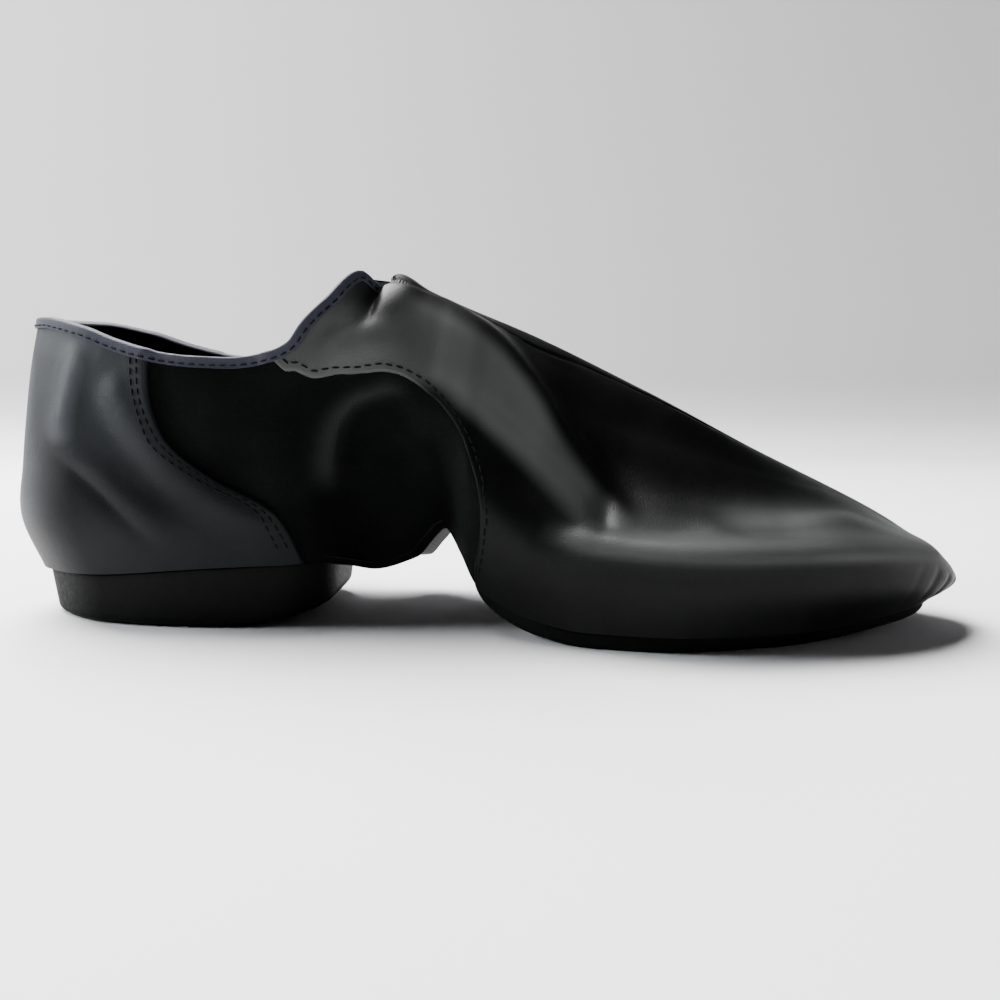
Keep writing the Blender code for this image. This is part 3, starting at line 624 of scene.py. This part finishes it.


# Each finish: its kind, its material's name and its values
# In the leather and cloth looks the third colour is a painted highlight, laid where the piece's attribute of painted
# highlight is high
looks = {
    "vamp": (leather, "vampLeather", {
        "dark": (0.0010, 0.0014, 0.0011), "light": (0.0028, 0.0034, 0.0030), "highlightPainted": (0.060, 0.063, 0.062),
        "mottle": 34.0, "grain": 0.00002, "softness": 0.0002, "gloss": (0.34, 0.44), "coat": 0.02,
        "coatRough": 0.25}),
    "counter": (leather, "counterLeather", {
        "dark": (0.0026, 0.0036, 0.0037), "light": (0.0062, 0.0078, 0.0082), "highlightPainted": (0.056, 0.061, 0.068),
        "mottle": 26.0, "grain": 0.00002, "softness": 0.0002, "gloss": (0.40, 0.52), "coat": 0.01,
        "coatRough": 0.30}),
    "panel": (stretchCloth, "archStretch", {
        "dark": (0.0010, 0.0016, 0.0012), "light": (0.0034, 0.0046, 0.0038), "highlightPainted": (0.012, 0.013, 0.0126),
        "rows": 520.0, "columns": 460.0, "relief": 0.00006, "ior": 1.10, "sheen": 0.01, "gloss": (0.66, 0.82)}),
    "tape": (stretchCloth, "collarTape", {
        "dark": (0.022, 0.023, 0.033), "light": (0.040, 0.042, 0.058), "highlightPainted": (0.03, 0.03, 0.04),
        "rows": 700.0, "columns": 700.0, "relief": 0.00006, "ior": 1.16, "sheen": 0.02, "gloss": (0.50, 0.65)}),
    "elastic": (stretchCloth, "throatElastic", {
        "dark": (0.008, 0.0082, 0.013), "light": (0.017, 0.0175, 0.026), "highlightPainted": (0.02, 0.02, 0.03),
        "rows": 60.0, "columns": 420.0, "relief": 0.0002, "ior": 1.16, "sheen": 0.02, "gloss": (0.55, 0.72)}),
    "thread": (napped, "blackThread", {
        "dark": (0.0020, 0.0022, 0.0025), "light": (0.0060, 0.0065, 0.0070), "patches": 120.0,
        "specks": 2500.0, "nap": 0.00002, "sheen": 0.0, "gloss": (0.45, 0.60)}),
    "rubber": (napped, "heelRubber", {
        "dark": (0.0016, 0.0023, 0.0017), "light": (0.0045, 0.0056, 0.0046), "patches": 40.0,
        "specks": 900.0, "nap": 0.00006, "sheen": 0.0, "gloss": (0.50, 0.66)}),
    "suede": (napped, "soleSuede", {
        "dark": (0.0016, 0.0020, 0.0017), "light": (0.0050, 0.0056, 0.0050), "patches": 45.0,
        "specks": 1600.0, "nap": 0.0001, "sheen": 0.0, "gloss": (0.75, 0.92)}),
    "lining": (napped, "sockLining", {
        "dark": (0.005, 0.005, 0.007), "light": (0.012, 0.012, 0.016), "patches": 60.0,
        "specks": 1800.0, "nap": 0.0001, "sheen": 0.02, "gloss": (0.75, 0.90)}),
}
finishes = {finish: make(name, look) for finish, (make, name, look) in looks.items()}


def cover(piece, finish):
    piece.data.materials.clear()
    piece.data.materials.append(finishes[finish])


def dress(piece, finish, node):
    cover(piece, finish)
    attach(piece, "root")
    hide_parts(node)


print("stage: vamp")

vampSizes = {
    "closeEnd": 0.012,  # share of the way to the toe where columns lie close, for the rounded edge
    "closeColumns": 8,
    "rearColumns": 40,
    "frontColumns": 272,
    "marginRows": 8,
    "rows": 113,
    "margin": 0.30,  # how far under the foot the edge is lasted, as a share of the way to the centre
    "settled": 0.22,  # share of the way to the toe by which rows reach their own level
    "partLevel": 2.6,  # level from which rows spread out from the edge
    "partLift": 0.5,
    "proud": 0.0005,
    "thickness": 0.0016,
    "edgeRound": 0.0007,
    "edgeColumns": 80,  # how many columns may lie within reach of the edge
    "seamInside": 1.6,  # the stitches' distance from the edge, in millimetres
}

# The two wedges beside the tongue where the elastic gores lie: the vamp runs thinly under them
goreWedge = {"halfTongue": 4.2, "width": 7.1, "length": 22.0, "soft": 0.8, "sink": 1.6, "thin": 0.25}

# Where the vamp's band gets its painted highlight: from the crest to the band's foot, from a height on and fully
# from another, away from the edge and the ridge, and less on the lateral side
bandPaintedHighlight = {"crest": (-1.5, 2.5), "foot": (-3.0, 2.5), "rise": (22, 30), "lowShare": 0.45, "full": (30, 55),
           "level": (0.2, 0.8), "ridge": (2.5, 6.0), "lateral": 0.3}


# How much of a gore's wedge a point is in, from 0 to 1
def inGore(points):
    size = goreWedge
    throatX = lastSide(medial, lastSizes["throatAt"], 5.0)[0]
    forward, across = (points[..., 0] - throatX) / mm, np.abs(points[..., 1]) / mm
    outer = size["halfTongue"] + size["width"] * np.clip(1 - forward / size["length"], 0, 1)
    soft = size["soft"] / 2
    share = softStep(across, size["halfTongue"] - soft, size["halfTongue"] + soft)
    share = share * softStep(outer - across, -soft, soft)
    return share * softStep(forward, -size["length"] / 2 - soft, -size["length"] / 2 + soft)


# How far a grid's points lie from its first column, for the first few columns; the rest count as far
def edgeDistance(grid, columns):
    rows = np.arange(len(grid))
    edge = pathAt(grid[:, 0], rows, np.linspace(0, len(grid) - 1, 4 * len(grid) - 3))
    distance = np.full(grid.shape[:2], 1.0)
    for column in range(columns):
        gap = grid[:, column, None] - edge
        distance[:, column] = np.sqrt((gap ** 2).sum(2).min(1))
    return distance


# How strongly the painted highlight shows on the vamp at each point of its grid
def vampPaintedHighlight(grid, level, side):
    rub = softStep(alongCurve(grid, wornForm["crest"]["knots"])[0], *bandPaintedHighlight["crest"])
    rub = rub * softStep(-alongCurve(grid, bandFoot)[0], *bandPaintedHighlight["foot"])
    high, low = grid[..., 2] / mm, bandPaintedHighlight["lowShare"]
    rub = rub * softStep(high, *bandPaintedHighlight["rise"]) * (low + (1 - low) * softStep(high, *bandPaintedHighlight["full"]))
    rub = np.maximum(rub, paintedHighlightStrength(grid, "vamp")) * softStep(level, *bandPaintedHighlight["level"])
    rub = rub * (1 - inGore(grid)) * softStep(np.abs(grid[..., 1]) / mm, *bandPaintedHighlight["ridge"])
    fromThroat = np.linalg.norm(sideView(grid) - np.array(throatShade["place"]), axis=-1)
    shade = 1 - softStep(fromThroat, throatShade["core"], throatShade["reach"])
    return rub * (1 - throatShade["depth"] * shade) * (1.0 if side < 0 else bandPaintedHighlight["lateral"])


# The vamp is two grids, one for each side, that meet on the ridge ahead of the throat. Rows leave the
# rear edge at equal steps along it and run to the toe, settling on a level of their own on the way;
# columns are shares of the way to the toe, with one of them at the throat
def makeVamp():
    size = vampSizes
    start, throat = turn(edgeKnots["vampAtCollar"]), turn(lastSizes["throatAt"])
    throatShare = (throat - start) / (math.pi - start)
    close = closeAtStart(size["closeColumns"] + 1, size["closeEnd"], size["closeColumns"])
    rear = np.linspace(size["closeEnd"], throatShare, size["rearColumns"], endpoint=False)
    along = np.concatenate([close[:-1], rear, np.linspace(throatShare, 1, size["frontColumns"] + 1)])
    throatColumn = size["closeColumns"] + size["rearColumns"]
    bend = 1 - np.clip(1 - along / size["settled"], 0, 1) ** 2

    def wanted(feather):
        low = np.linspace(0, feather, size["marginRows"], endpoint=False)
        return np.concatenate([low, np.linspace(feather, 1, size["rows"] - size["marginRows"])])

    sheets = []
    for side in (medial, lateral):
        share, feather, edgeTurn, edgeLevel = vampEdgePath(side, size["margin"], wanted)
        parting = share[np.argmax(edgeLevel > size["partLevel"])]
        climb = np.clip((share - parting) / (1 - parting), 0, 1)
        climb = climb + size["partLift"] * climb * (1 - climb)
        final = np.where(share < parting, edgeLevel, size["partLevel"] + (5 - size["partLevel"]) * climb)
        order = slice(None) if side < 0 else slice(None, None, -1)
        level = (edgeLevel[:, None] * (1 - bend) + final[:, None] * bend)[order]
        at = unturn(edgeTurn[:, None] * (1 - along) + math.pi * along)[order]
        grid, normal = wornSkin(side, at, level)
        sheets.append((grid, normal, level, edgeDistance(grid, size["edgeColumns"]), vampPaintedHighlight(grid, level, side)))
    joint = gridNormals(np.concatenate([sheets[0][0], sheets[1][0][1:]]))[size["rows"] - 1]
    joint[:, 1] *= 1 - softStep(along, 0.9, 1.0)
    joint = unit(joint)
    sheets[0][1][-1, throatColumn:] = joint[throatColumn:]
    sheets[1][1][0, throatColumn:] = joint[throatColumn:]
    parts, seams = [], []
    rims = ({"firstColumn": None, "firstRow": None, "lastRow": throatColumn},
            {"firstColumn": None, "lastRow": None, "firstRow": throatColumn})
    for (grid, normal, level, inside, rub), rim in zip(sheets, rims):
        normal[:, -1] = unit(normal[:, -1] * (1, 0, 1) - (0, 0, 1e-6))  # straight down where rows meet in a point
        gore = inGore(grid)
        height = size["proud"] * (1.2 * softStep(level, 0.0, 0.5) - 0.2)
        height = height - roundedEdge(inside, size["edgeRound"])
        outer = grid + normal * (height - goreWedge["sink"] * mm * gore)[..., None]
        thickness = size["thickness"] * (1 - gore) + goreWedge["thin"] * mm * gore
        parts.append(sheetPart(outer, normal, thickness[..., None], rim, rub))
        rows = np.flatnonzero((level[:, 0] > 0.3) & (level[:, 0] < 4.75))
        column = np.argmax(inside[rows] > size["seamInside"] * mm, axis=1)
        seams.append((outer[rows, column], normal[rows, column]))
    return joinParts("vamp", parts, turned=False), seams


vamp, vampSeams = makeVamp()
dress(vamp, "vamp", "upper")

print("stage: stretch arch panel")

panelSizes = {
    "columns": 161,
    "rows": 301,
    "start": 0.13,
    "end": 0.53,
    "sink": 0.0004,
    "thickness": 0.0009,
    "top": {"at": (0.13, 0.30, 0.36, 0.53), "level": (5.0, 5.0, 4.15, 4.15)},  # under the vamp's band
}


# The stretch panel runs round under the arch in one piece, from under the counter to under the vamp:
# rows go from its medial top down, across beneath the foot and up to its lateral top
def makePanel():
    size = panelSizes
    at = np.linspace(size["start"], size["end"], size["columns"])[None, :]
    around = np.linspace(-1, 1, size["rows"])[:, None]
    top = readColumn(size["top"]["at"], size["top"]["level"], at)
    level = np.abs(around) * (top + 1) - 1
    grid, normals = wornSkin(np.where(around < 0, medial, lateral), at, level, -1)
    outer = grid - normals * size["sink"]
    # painted highlight along the crescent fold, weaker on the lateral side
    rub = paintedHighlightStrength(grid, "panel") * np.where(around < 0, 1.0, 0.3)
    return joinParts("stretch_panel", [sheetPart(outer, normals, size["thickness"], allRound, rub)])


dress(makePanel(), "panel", "upper")

print("stage: heel counter")

counterSizes = {
    "halfColumns": 121,
    "rows": 121,
    "closeEnd": 0.05,
    "closeColumns": 12,
    "lowLevel": 0.04,
    "highLevel": 4.93,
    "proud": 0.0017,
    "thickness": 0.0011,
    "edgeRound": 0.0009,
}


# The counter goes round the heel from one slanted front edge to the other: columns are the share of
# the way, close at the edges, with its cosine keeping them even round the back
def makeCounter():
    size = counterSizes
    level = np.linspace(size["lowLevel"], size["highLevel"], size["rows"])
    half = closeAtStart(size["halfColumns"], size["closeEnd"], size["closeColumns"]) - 1
    around = np.concatenate([half, -half[-2::-1]])
    at = counterEdge(level)[:, None] * (1 - np.cos(np.abs(around) * math.pi / 2))
    side = np.where(around < 0, medial, lateral)
    grid, normals = wornSkin(side[None, :], at, level[:, None], -1)
    step = np.linalg.norm(np.diff(grid, axis=1), axis=-1)
    front = np.pad(np.cumsum(step, axis=1), ((0, 0), (1, 0)))
    height = size["proud"] - roundedEdge(np.minimum(front, front[:, -1:] - front), size["edgeRound"])
    outer = grid + normals * height[..., None]
    # painted highlight: the streak, back and top strips, and a paler top where the light falls
    rub = np.maximum(paintedHighlightStrength(grid, "counter"), 0.35 * softStep(level, 1.5, 4.0)[:, None])
    return joinParts("heel_counter_leather", [sheetPart(outer, normals, size["thickness"], allRound, rub)])


dress(makeCounter(), "counter", "heel_counter")

print("stage: lining")

liningSizes = {"rearColumns": 100, "frontColumns": 160, "rows": 241, "sink": 0.0021, "thickness": 0.0004}


# The lining is the skin inside the wall, from collar to collar and from heel to toe. Its first and last
# rows meet on the ridge ahead of the throat
def makeLining():
    size = liningSizes
    around = np.linspace(-1, 1, size["rows"])
    level = np.abs(around) * 6 - 1
    side = np.where(around < 0, medial, lateral)
    throat = turn(lastSizes["throatAt"])
    angle = np.concatenate([np.linspace(0.02, throat, size["rearColumns"], endpoint=False),
                            np.linspace(throat, math.pi - 0.02, size["frontColumns"] + 1)])
    grid, normals = wornSkin(side[:, None], unturn(angle)[None, :], level[:, None], -1)
    meet = unit(normals[0] + normals[-1])
    for row in (0, -1):
        normals[row, size["rearColumns"]:] = meet[size["rearColumns"]:]
    outer = grid - normals * size["sink"]
    rims = {**allRound, "firstRow": size["rearColumns"], "lastRow": size["rearColumns"]}
    return joinParts("upper_lining", [sheetPart(outer, normals, size["thickness"], rims)])


dress(makeLining(), "lining", "upper")

print("stage: collar tape and stitches")

tapeSizes = {
    "columns": 321,
    "end": 0.384,  # where it stops at the flaps' corners, as a share of the length
    "leg": 0.0024,
    "thickness": 0.0004,
    "inside": 0.0021,
    "overCounter": 0.0019,
    "overPanel": 0.0001,
    "overVamp": 0.0008,
}


# Points, outward and upward directions along the collar, from the medial flap's corner round the heel
# to the lateral one, and how far the layer under the tape stands out there
def collarPath():
    size = tapeSizes
    run = np.linspace(-1, 1, size["columns"])
    at = unturn(np.abs(run) * turn(size["end"]))
    side = np.where(run < 0, medial, lateral)
    levels = np.array([4.90, 4.95, 5.0])
    grid, normals = wornSkin(side[None, :], at[None, :], levels[:, None], -1)
    place, outward = grid[-1], normals[-1]
    way = unit(np.gradient(place, axis=0))
    outward = unit(outward - way * (outward * way).sum(1, keepdims=True))
    upward = np.cross(outward, way)
    upward *= np.sign(upward[:, 2:])
    over = size["overPanel"]
    for height, within in ((size["overCounter"], counterEdge(5.0) - at),
                           (size["overVamp"], at - edgeKnots["vampAtCollar"])):
        over = over + (height - size["overPanel"]) * softStep(within, -0.012, 0.0)
    return place, outward, upward, over


# The tape is a folded strip: its section goes up the outside, round over the edge in a half ellipse, down
# the inside and back at its own thickness, carried along the collar
def makeTape():
    size = tapeSizes
    place, outward, upward, over = collarPath()
    angles = np.linspace(0, math.pi, 9)
    legs = size["leg"] * np.linspace(1, 0, 5, endpoint=False)
    outer, inner = over[:, None] + size["thickness"], -(size["inside"] + size["thickness"])
    middle, reach = (outer + inner) / 2, (outer - inner) / 2
    blank = 0 * reach

    def half(wide, tall):
        flat = 0 * legs
        across = np.concatenate([middle + wide + flat, middle + wide * np.cos(angles), middle - wide + flat], 1)
        return across, np.concatenate([blank - legs, tall * np.sin(angles), blank - legs[::-1]], 1)

    (outX, outZ), (inX, inZ) = half(reach, 0.35 * reach), half(reach - size["thickness"], 0.105 * reach)
    across, high = np.concatenate([outX, inX[:, ::-1]], 1), np.concatenate([outZ, inZ[:, ::-1]], 1)
    grid = place[:, None] + outward[:, None] * across[..., None] + upward[:, None] * high[..., None]
    ids = np.arange(across.size).reshape(across.shape)
    faces = quadList(np.concatenate([ids, ids[:, :1]], 1)) + [list(ids[0]), list(ids[-1][::-1])]
    return makeObject("collar_tape", grid.reshape(-1, 3), faces, 50, outward=True)


dress(makeTape(), "tape", "upper")

stitchSizes = {
    "pitch": 0.0026,
    "length": 0.0018,
    "radius": 0.00024,
    "lift": 0.00008,
    "sides": 6,
    "rings": (-1.0, -0.8, -0.4, 0.4, 0.8, 1.0),  # places along half a stitch's length
    "swell": (0.10, 0.75, 1.0, 1.0, 0.75, 0.10),  # its radius there
}


# Stitches along a path on a surface: at equal steps, each a short thread whose rings follow the swell
def stitchPoints(place, outward):
    size = stitchSizes
    run = runLength(place)
    steps, half = np.arange(size["pitch"] / 2, run[-1], size["pitch"]), size["length"] / 2
    way = unit(pathAt(place, run, steps + half) - pathAt(place, run, steps - half))
    normal = pathAt(outward, run, steps)
    normal = unit(normal - way * (normal * way).sum(1, keepdims=True))
    angles = np.linspace(0, 2 * math.pi, size["sides"], endpoint=False)
    swell = np.array(size["swell"])[:, None] * size["radius"]
    points = (pathAt(place, run, steps) + normal * size["lift"])[:, None, None]
    points = points + way[:, None, None] * (np.array(size["rings"]) * half)[:, None, None]
    points = points + np.cross(way, normal)[:, None, None] * (swell * np.cos(angles))[..., None]
    return points + normal[:, None, None] * (swell * np.sin(angles))[..., None]


def makeStitches(name, rows):
    blocks = np.concatenate([stitchPoints(place, outward) for place, outward in rows])
    one = np.arange(blocks[0, ..., 0].size).reshape(blocks.shape[1:3])
    faces = quadList(np.concatenate([one, one[:, :1]], 1)) + [list(one[0]), list(one[-1][::-1])]
    every = [[index + number * one.size for index in face] for number in range(len(blocks)) for face in faces]
    return makeObject(name, blocks.reshape(-1, 3), every, 80, weld=0)


# The stitched lines: two inside the counter's front edge, one inside the vamp's rear edge, each at its
# piece's height, and one along the tape
def seamRows():
    rows = list(vampSeams)
    level = np.linspace(0.35, 4.80, 90)
    for side in (medial, lateral):
        for inside in (0.008, 0.015):
            at = counterEdge(level)[:, None] - inside + np.array([-0.002, 0.0, 0.002])
            grid, normals = wornSkin(side, at, level[:, None], -side)
            rows.append((grid[:, 1] + normals[:, 1] * counterSizes["proud"], normals[:, 1]))
    place, outward, upward, over = collarPath()
    height = (over + tapeSizes["thickness"])[:, None]
    rows.append((place + outward * height - upward * tapeSizes["leg"] * 0.7, outward))
    return rows


dress(makeStitches("seam_stitches", seamRows()), "thread", "upper")

print("stage: soles")

soleSizes = {
    "heelEnd": 0.345,
    "heelTaper": 0.0012,
    "bevelStart": 0.25,
    "bevelRise": 0.0042,
    "foreStart": 0.497,
    "foreThickness": 0.0038,
    "gap": 0.0003,
    "squareness": 5.0,
    "heelRound": 0.0026,
    "foreRound": 0.0014,
    "topRound": 0.0005,
    "across": 9,  # points across each face
    "sideRises": (0.35, 0.65, 0.9),  # heights of the rings up the side
}


def shareAtFoot(x):
    heel, toe = placeAlong(0.0), placeAlong(1.0)
    return np.clip((x - heel) / (toe - heel), 0, 1)


# A sole's outline as a closed loop of points: the feather edge's half widths from start to end, closed
# at a cut end by a squared round
def soleOutline(start, end, count):
    along = -np.cos(np.linspace(0, math.pi, count))
    at = start + (end - start) * (along + 1) / 2
    cut = ((along < 0) & (start > 0)) | ((along > 0) & (end < 1))
    power = soleSizes["squareness"]
    close = np.where(cut, (1 - np.abs(along) ** power) ** (1 / power), 1)
    halves = []
    for side in (medial, lateral):
        shares = readSections(side, at)
        halves.append(side * shares["width"] * shares["footIn"] * lastSizes["ballWidth"] * close)
    return placeAlong(at), *halves


# A pad from its outline: rings follow the plan's loop, moved in along the plan's normals and up the
# side, with a quarter round at the bottom and a smaller one at the top; both faces are filled across
def makePad(name, outline, base, top, taper, edgeRound):
    x, inner, outer = outline
    count, topRound, rises = len(x), soleSizes["topRound"], np.array(soleSizes["sideRises"])
    plan = np.stack([np.concatenate([x, x[-2:0:-1]]), np.concatenate([inner, outer[-2:0:-1]])], 1)
    way = unit(np.roll(plan, -1, 0) - np.roll(plan, 1, 0))
    outside = np.stack([way[:, 1], -way[:, 0]], 1)
    bend = np.linspace(0, math.pi / 2, 8)
    # each ring's inset, its share of the side's height, and what is added to that
    steps = [(taper + edgeRound * (1 - math.sin(b)), 0, edgeRound * (1 - math.cos(b))) for b in bend]
    steps += [(taper * (1 - rise), rise, edgeRound - rise * (edgeRound + topRound)) for rise in rises]
    steps += [(topRound * (1 - math.cos(b)), 1, -topRound * (1 - math.sin(b))) for b in bend[1:]]
    rings = []
    for inset, share, added in steps:
        flat = plan - outside * inset
        low, high = base(flat[:, 0]), top(flat[:, 0])
        rings.append(np.column_stack([flat, low + (high - low) * share + added]))
    rings = np.array(rings)
    ids = np.arange(rings[..., 0].size).reshape(rings.shape[:2])
    faces = quadList(np.concatenate([ids, ids[:, :1]], 1))
    points, size, across = [rings.reshape(-1, 3)], ids.size, soleSizes["across"]
    shares = np.linspace(0, 1, across)[:, None, None]
    for ring, height in ((rings[0], base), (rings[-1], top)):
        right = np.concatenate([ring[:1], ring[:count - 1:-1], ring[count - 1:count]])
        face = ring[:count] * (1 - shares) + right * shares
        face[1:-1, :, 2] = height(face[1:-1, :, 0])
        faces += quadList(np.arange(across * count).reshape(across, count) + size)
        points.append(face.reshape(-1, 3))
        size += across * count
    return makeObject(name, np.concatenate(points), faces, 45, outward=True)


def heelBase(x):
    start, end = soleSizes["bevelStart"], soleSizes["heelEnd"]
    return soleSizes["bevelRise"] * np.clip((shareAtFoot(x) - start) / (end - start), 0, 1) ** 1.5


def soleTop(x):
    return underside(shareAtFoot(x)) - soleSizes["gap"]


heelPad = makePad("heel_block", soleOutline(0, soleSizes["heelEnd"], 120), heelBase, soleTop,
                  soleSizes["heelTaper"], soleSizes["heelRound"])
dress(heelPad, "rubber", "heel_pad")

forefootSole = makePad("forefoot_suede", soleOutline(soleSizes["foreStart"], 1, 180),
                       lambda x: soleTop(x) - soleSizes["foreThickness"], soleTop, 0.0, soleSizes["foreRound"])
dress(forefootSole, "suede", "forefoot_sole")

coveredNodes = {"insole_heel": "lining", "insole_forefoot": "lining",
                "throat_gore_medial": "elastic", "throat_gore_lateral": "elastic"}
for name, finish in coveredNodes.items():
    cover(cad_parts[name], finish)

print("stage: floor, light and camera")

studio = {
    "backY": 0.455,
    "frontY": -0.62,
    "halfX": 0.80,
    "wallTop": 0.36,
    "sweep": 0.03,
    "centreX": 0.10,
    "floorColour": (0.80, 0.79, 0.80),
    "wallColour": (0.47, 0.465, 0.475),
    "wallFrom": 0.004,  # height where the floor's colour begins to turn into the wall's
    "wallAt": 0.06,
    "squareness": 8.0,
    "rings": 12,
}


# The floor with a low wall round it, as one surface: a squared round in plan, flat up to the sweep and
# then a quarter circle up into the wall
def makeSweep():
    turns = np.linspace(0, 2 * math.pi, 193)
    circle = np.stack([np.cos(turns), np.sin(turns)], 1)
    plan = np.sign(circle) * np.abs(circle) ** (2 / studio["squareness"])
    halfY = (studio["backY"] - studio["frontY"]) / 2
    reach, rings = studio["sweep"], studio["rings"]
    bend = np.linspace(0, math.pi / 2, rings)
    inset = np.concatenate([reach + 0.5 * np.linspace(1, 0, rings, endpoint=False), reach * (1 - np.sin(bend)), [0]])
    height = np.concatenate([np.zeros(rings), reach * (1 - np.cos(bend)), [studio["wallTop"]]])
    wall = softStep(plan[:, 1], -0.5, 0.3)  # the wall is left out in front
    grid = np.array([
        np.stack([plan[:, 0] * (studio["halfX"] - pull) + studio["centreX"],
                  plan[:, 1] * max(halfY - pull, 0.0) + studio["frontY"] + halfY, z * wall], 1)
        for pull, z in zip(inset, height)])
    ids = np.arange(grid[..., 0].size).reshape(grid.shape[:2])
    sweep = makeObject("studio_sweep", grid.reshape(-1, 3), quadList(ids) + [list(ids[0][:-1][::-1])], 80, 1e-6)
    made, where = newMaterial("paleSweep")
    mottle = where.noise(6.0, 3.0)
    high = where.add("ShaderNodeSeparateXYZ", None, {"Vector": where}, out=2)
    floor = mottle.ramp(0.3, 0.7).mixed(studio["floorColour"], tuple(c * 0.97 for c in studio["floorColour"]))
    colour = high.ramp(studio["wallFrom"], studio["wallAt"]).mixed(floor, studio["wallColour"])
    finishMaterial(where, {"Specular IOR Level": 0.0},
                   {"Base Color": colour, "Roughness": mottle.ramp(0, 1, 0.7, 0.9)})
    sweep.data.materials.append(made)


makeSweep()

lights = {
    # place, aim, size, power and colour of each soft light
    "window": {"place": (-0.40, 0.42, 0.96), "aim": (0.08, 0.0, 0.03), "size": (0.9, 0.9), "power": 88.0,
               "colour": (1.0, 0.995, 0.99)},
    "left": {"place": (-0.75, -0.06, 0.32), "aim": (0.0, 0.0, 0.05), "size": (0.30, 0.40), "power": 15.0,
             "colour": (0.93, 0.97, 1.0)},
}


def aimed(thing, place, aim):
    thing.location = place
    thing.rotation_euler = (Vector(aim) - Vector(place)).to_track_quat("-Z", "Y").to_euler()


def place(name, data, location):
    thing = bpy.data.objects.new(name, data)
    bpy.context.scene.collection.objects.link(thing)
    thing.location = location
    return thing


for name, light in lights.items():
    data = bpy.data.lights.new(name + "Light", "AREA")
    data.shape = "RECTANGLE"
    data.size, data.size_y = light["size"]
    data.energy = light["power"]
    data.color = light["colour"]
    toAim = Vector(light["aim"]) - Vector(light["place"])
    place(name + "Light", data, light["place"]).rotation_euler = toAim.to_track_quat("-Z", "Y").to_euler()

world = bpy.data.worlds.new("dimRoom")
world.use_nodes = True
background = world.node_tree.nodes["Background"].inputs
background["Color"].default_value = (0.80, 0.82, 0.86, 1)
background["Strength"].default_value = 0.03
bpy.context.scene.world = world

cameraSetup = {
    # the photograph's place in the shoe's frame: a close view from the inner side
    "place": (0.11335, -0.2559, 0.066),
    "turn": 4.0,  # degrees to the left of straight across
    "pitch": 8.0,  # degrees down
    "focal": 0.960,  # focal length over the image's width
    "sensor": 36.0,
}
data = bpy.data.cameras.new("photoCamera")
data.sensor_width = cameraSetup["sensor"]
data.lens = cameraSetup["sensor"] * cameraSetup["focal"]
data.clip_start, data.clip_end = 0.01, 10
camera = place("photoCamera", data, cameraSetup["place"])
camera.rotation_euler = (math.radians(90 - cameraSetup["pitch"]), 0, math.radians(cameraSetup["turn"]))
bpy.context.scene.camera = camera
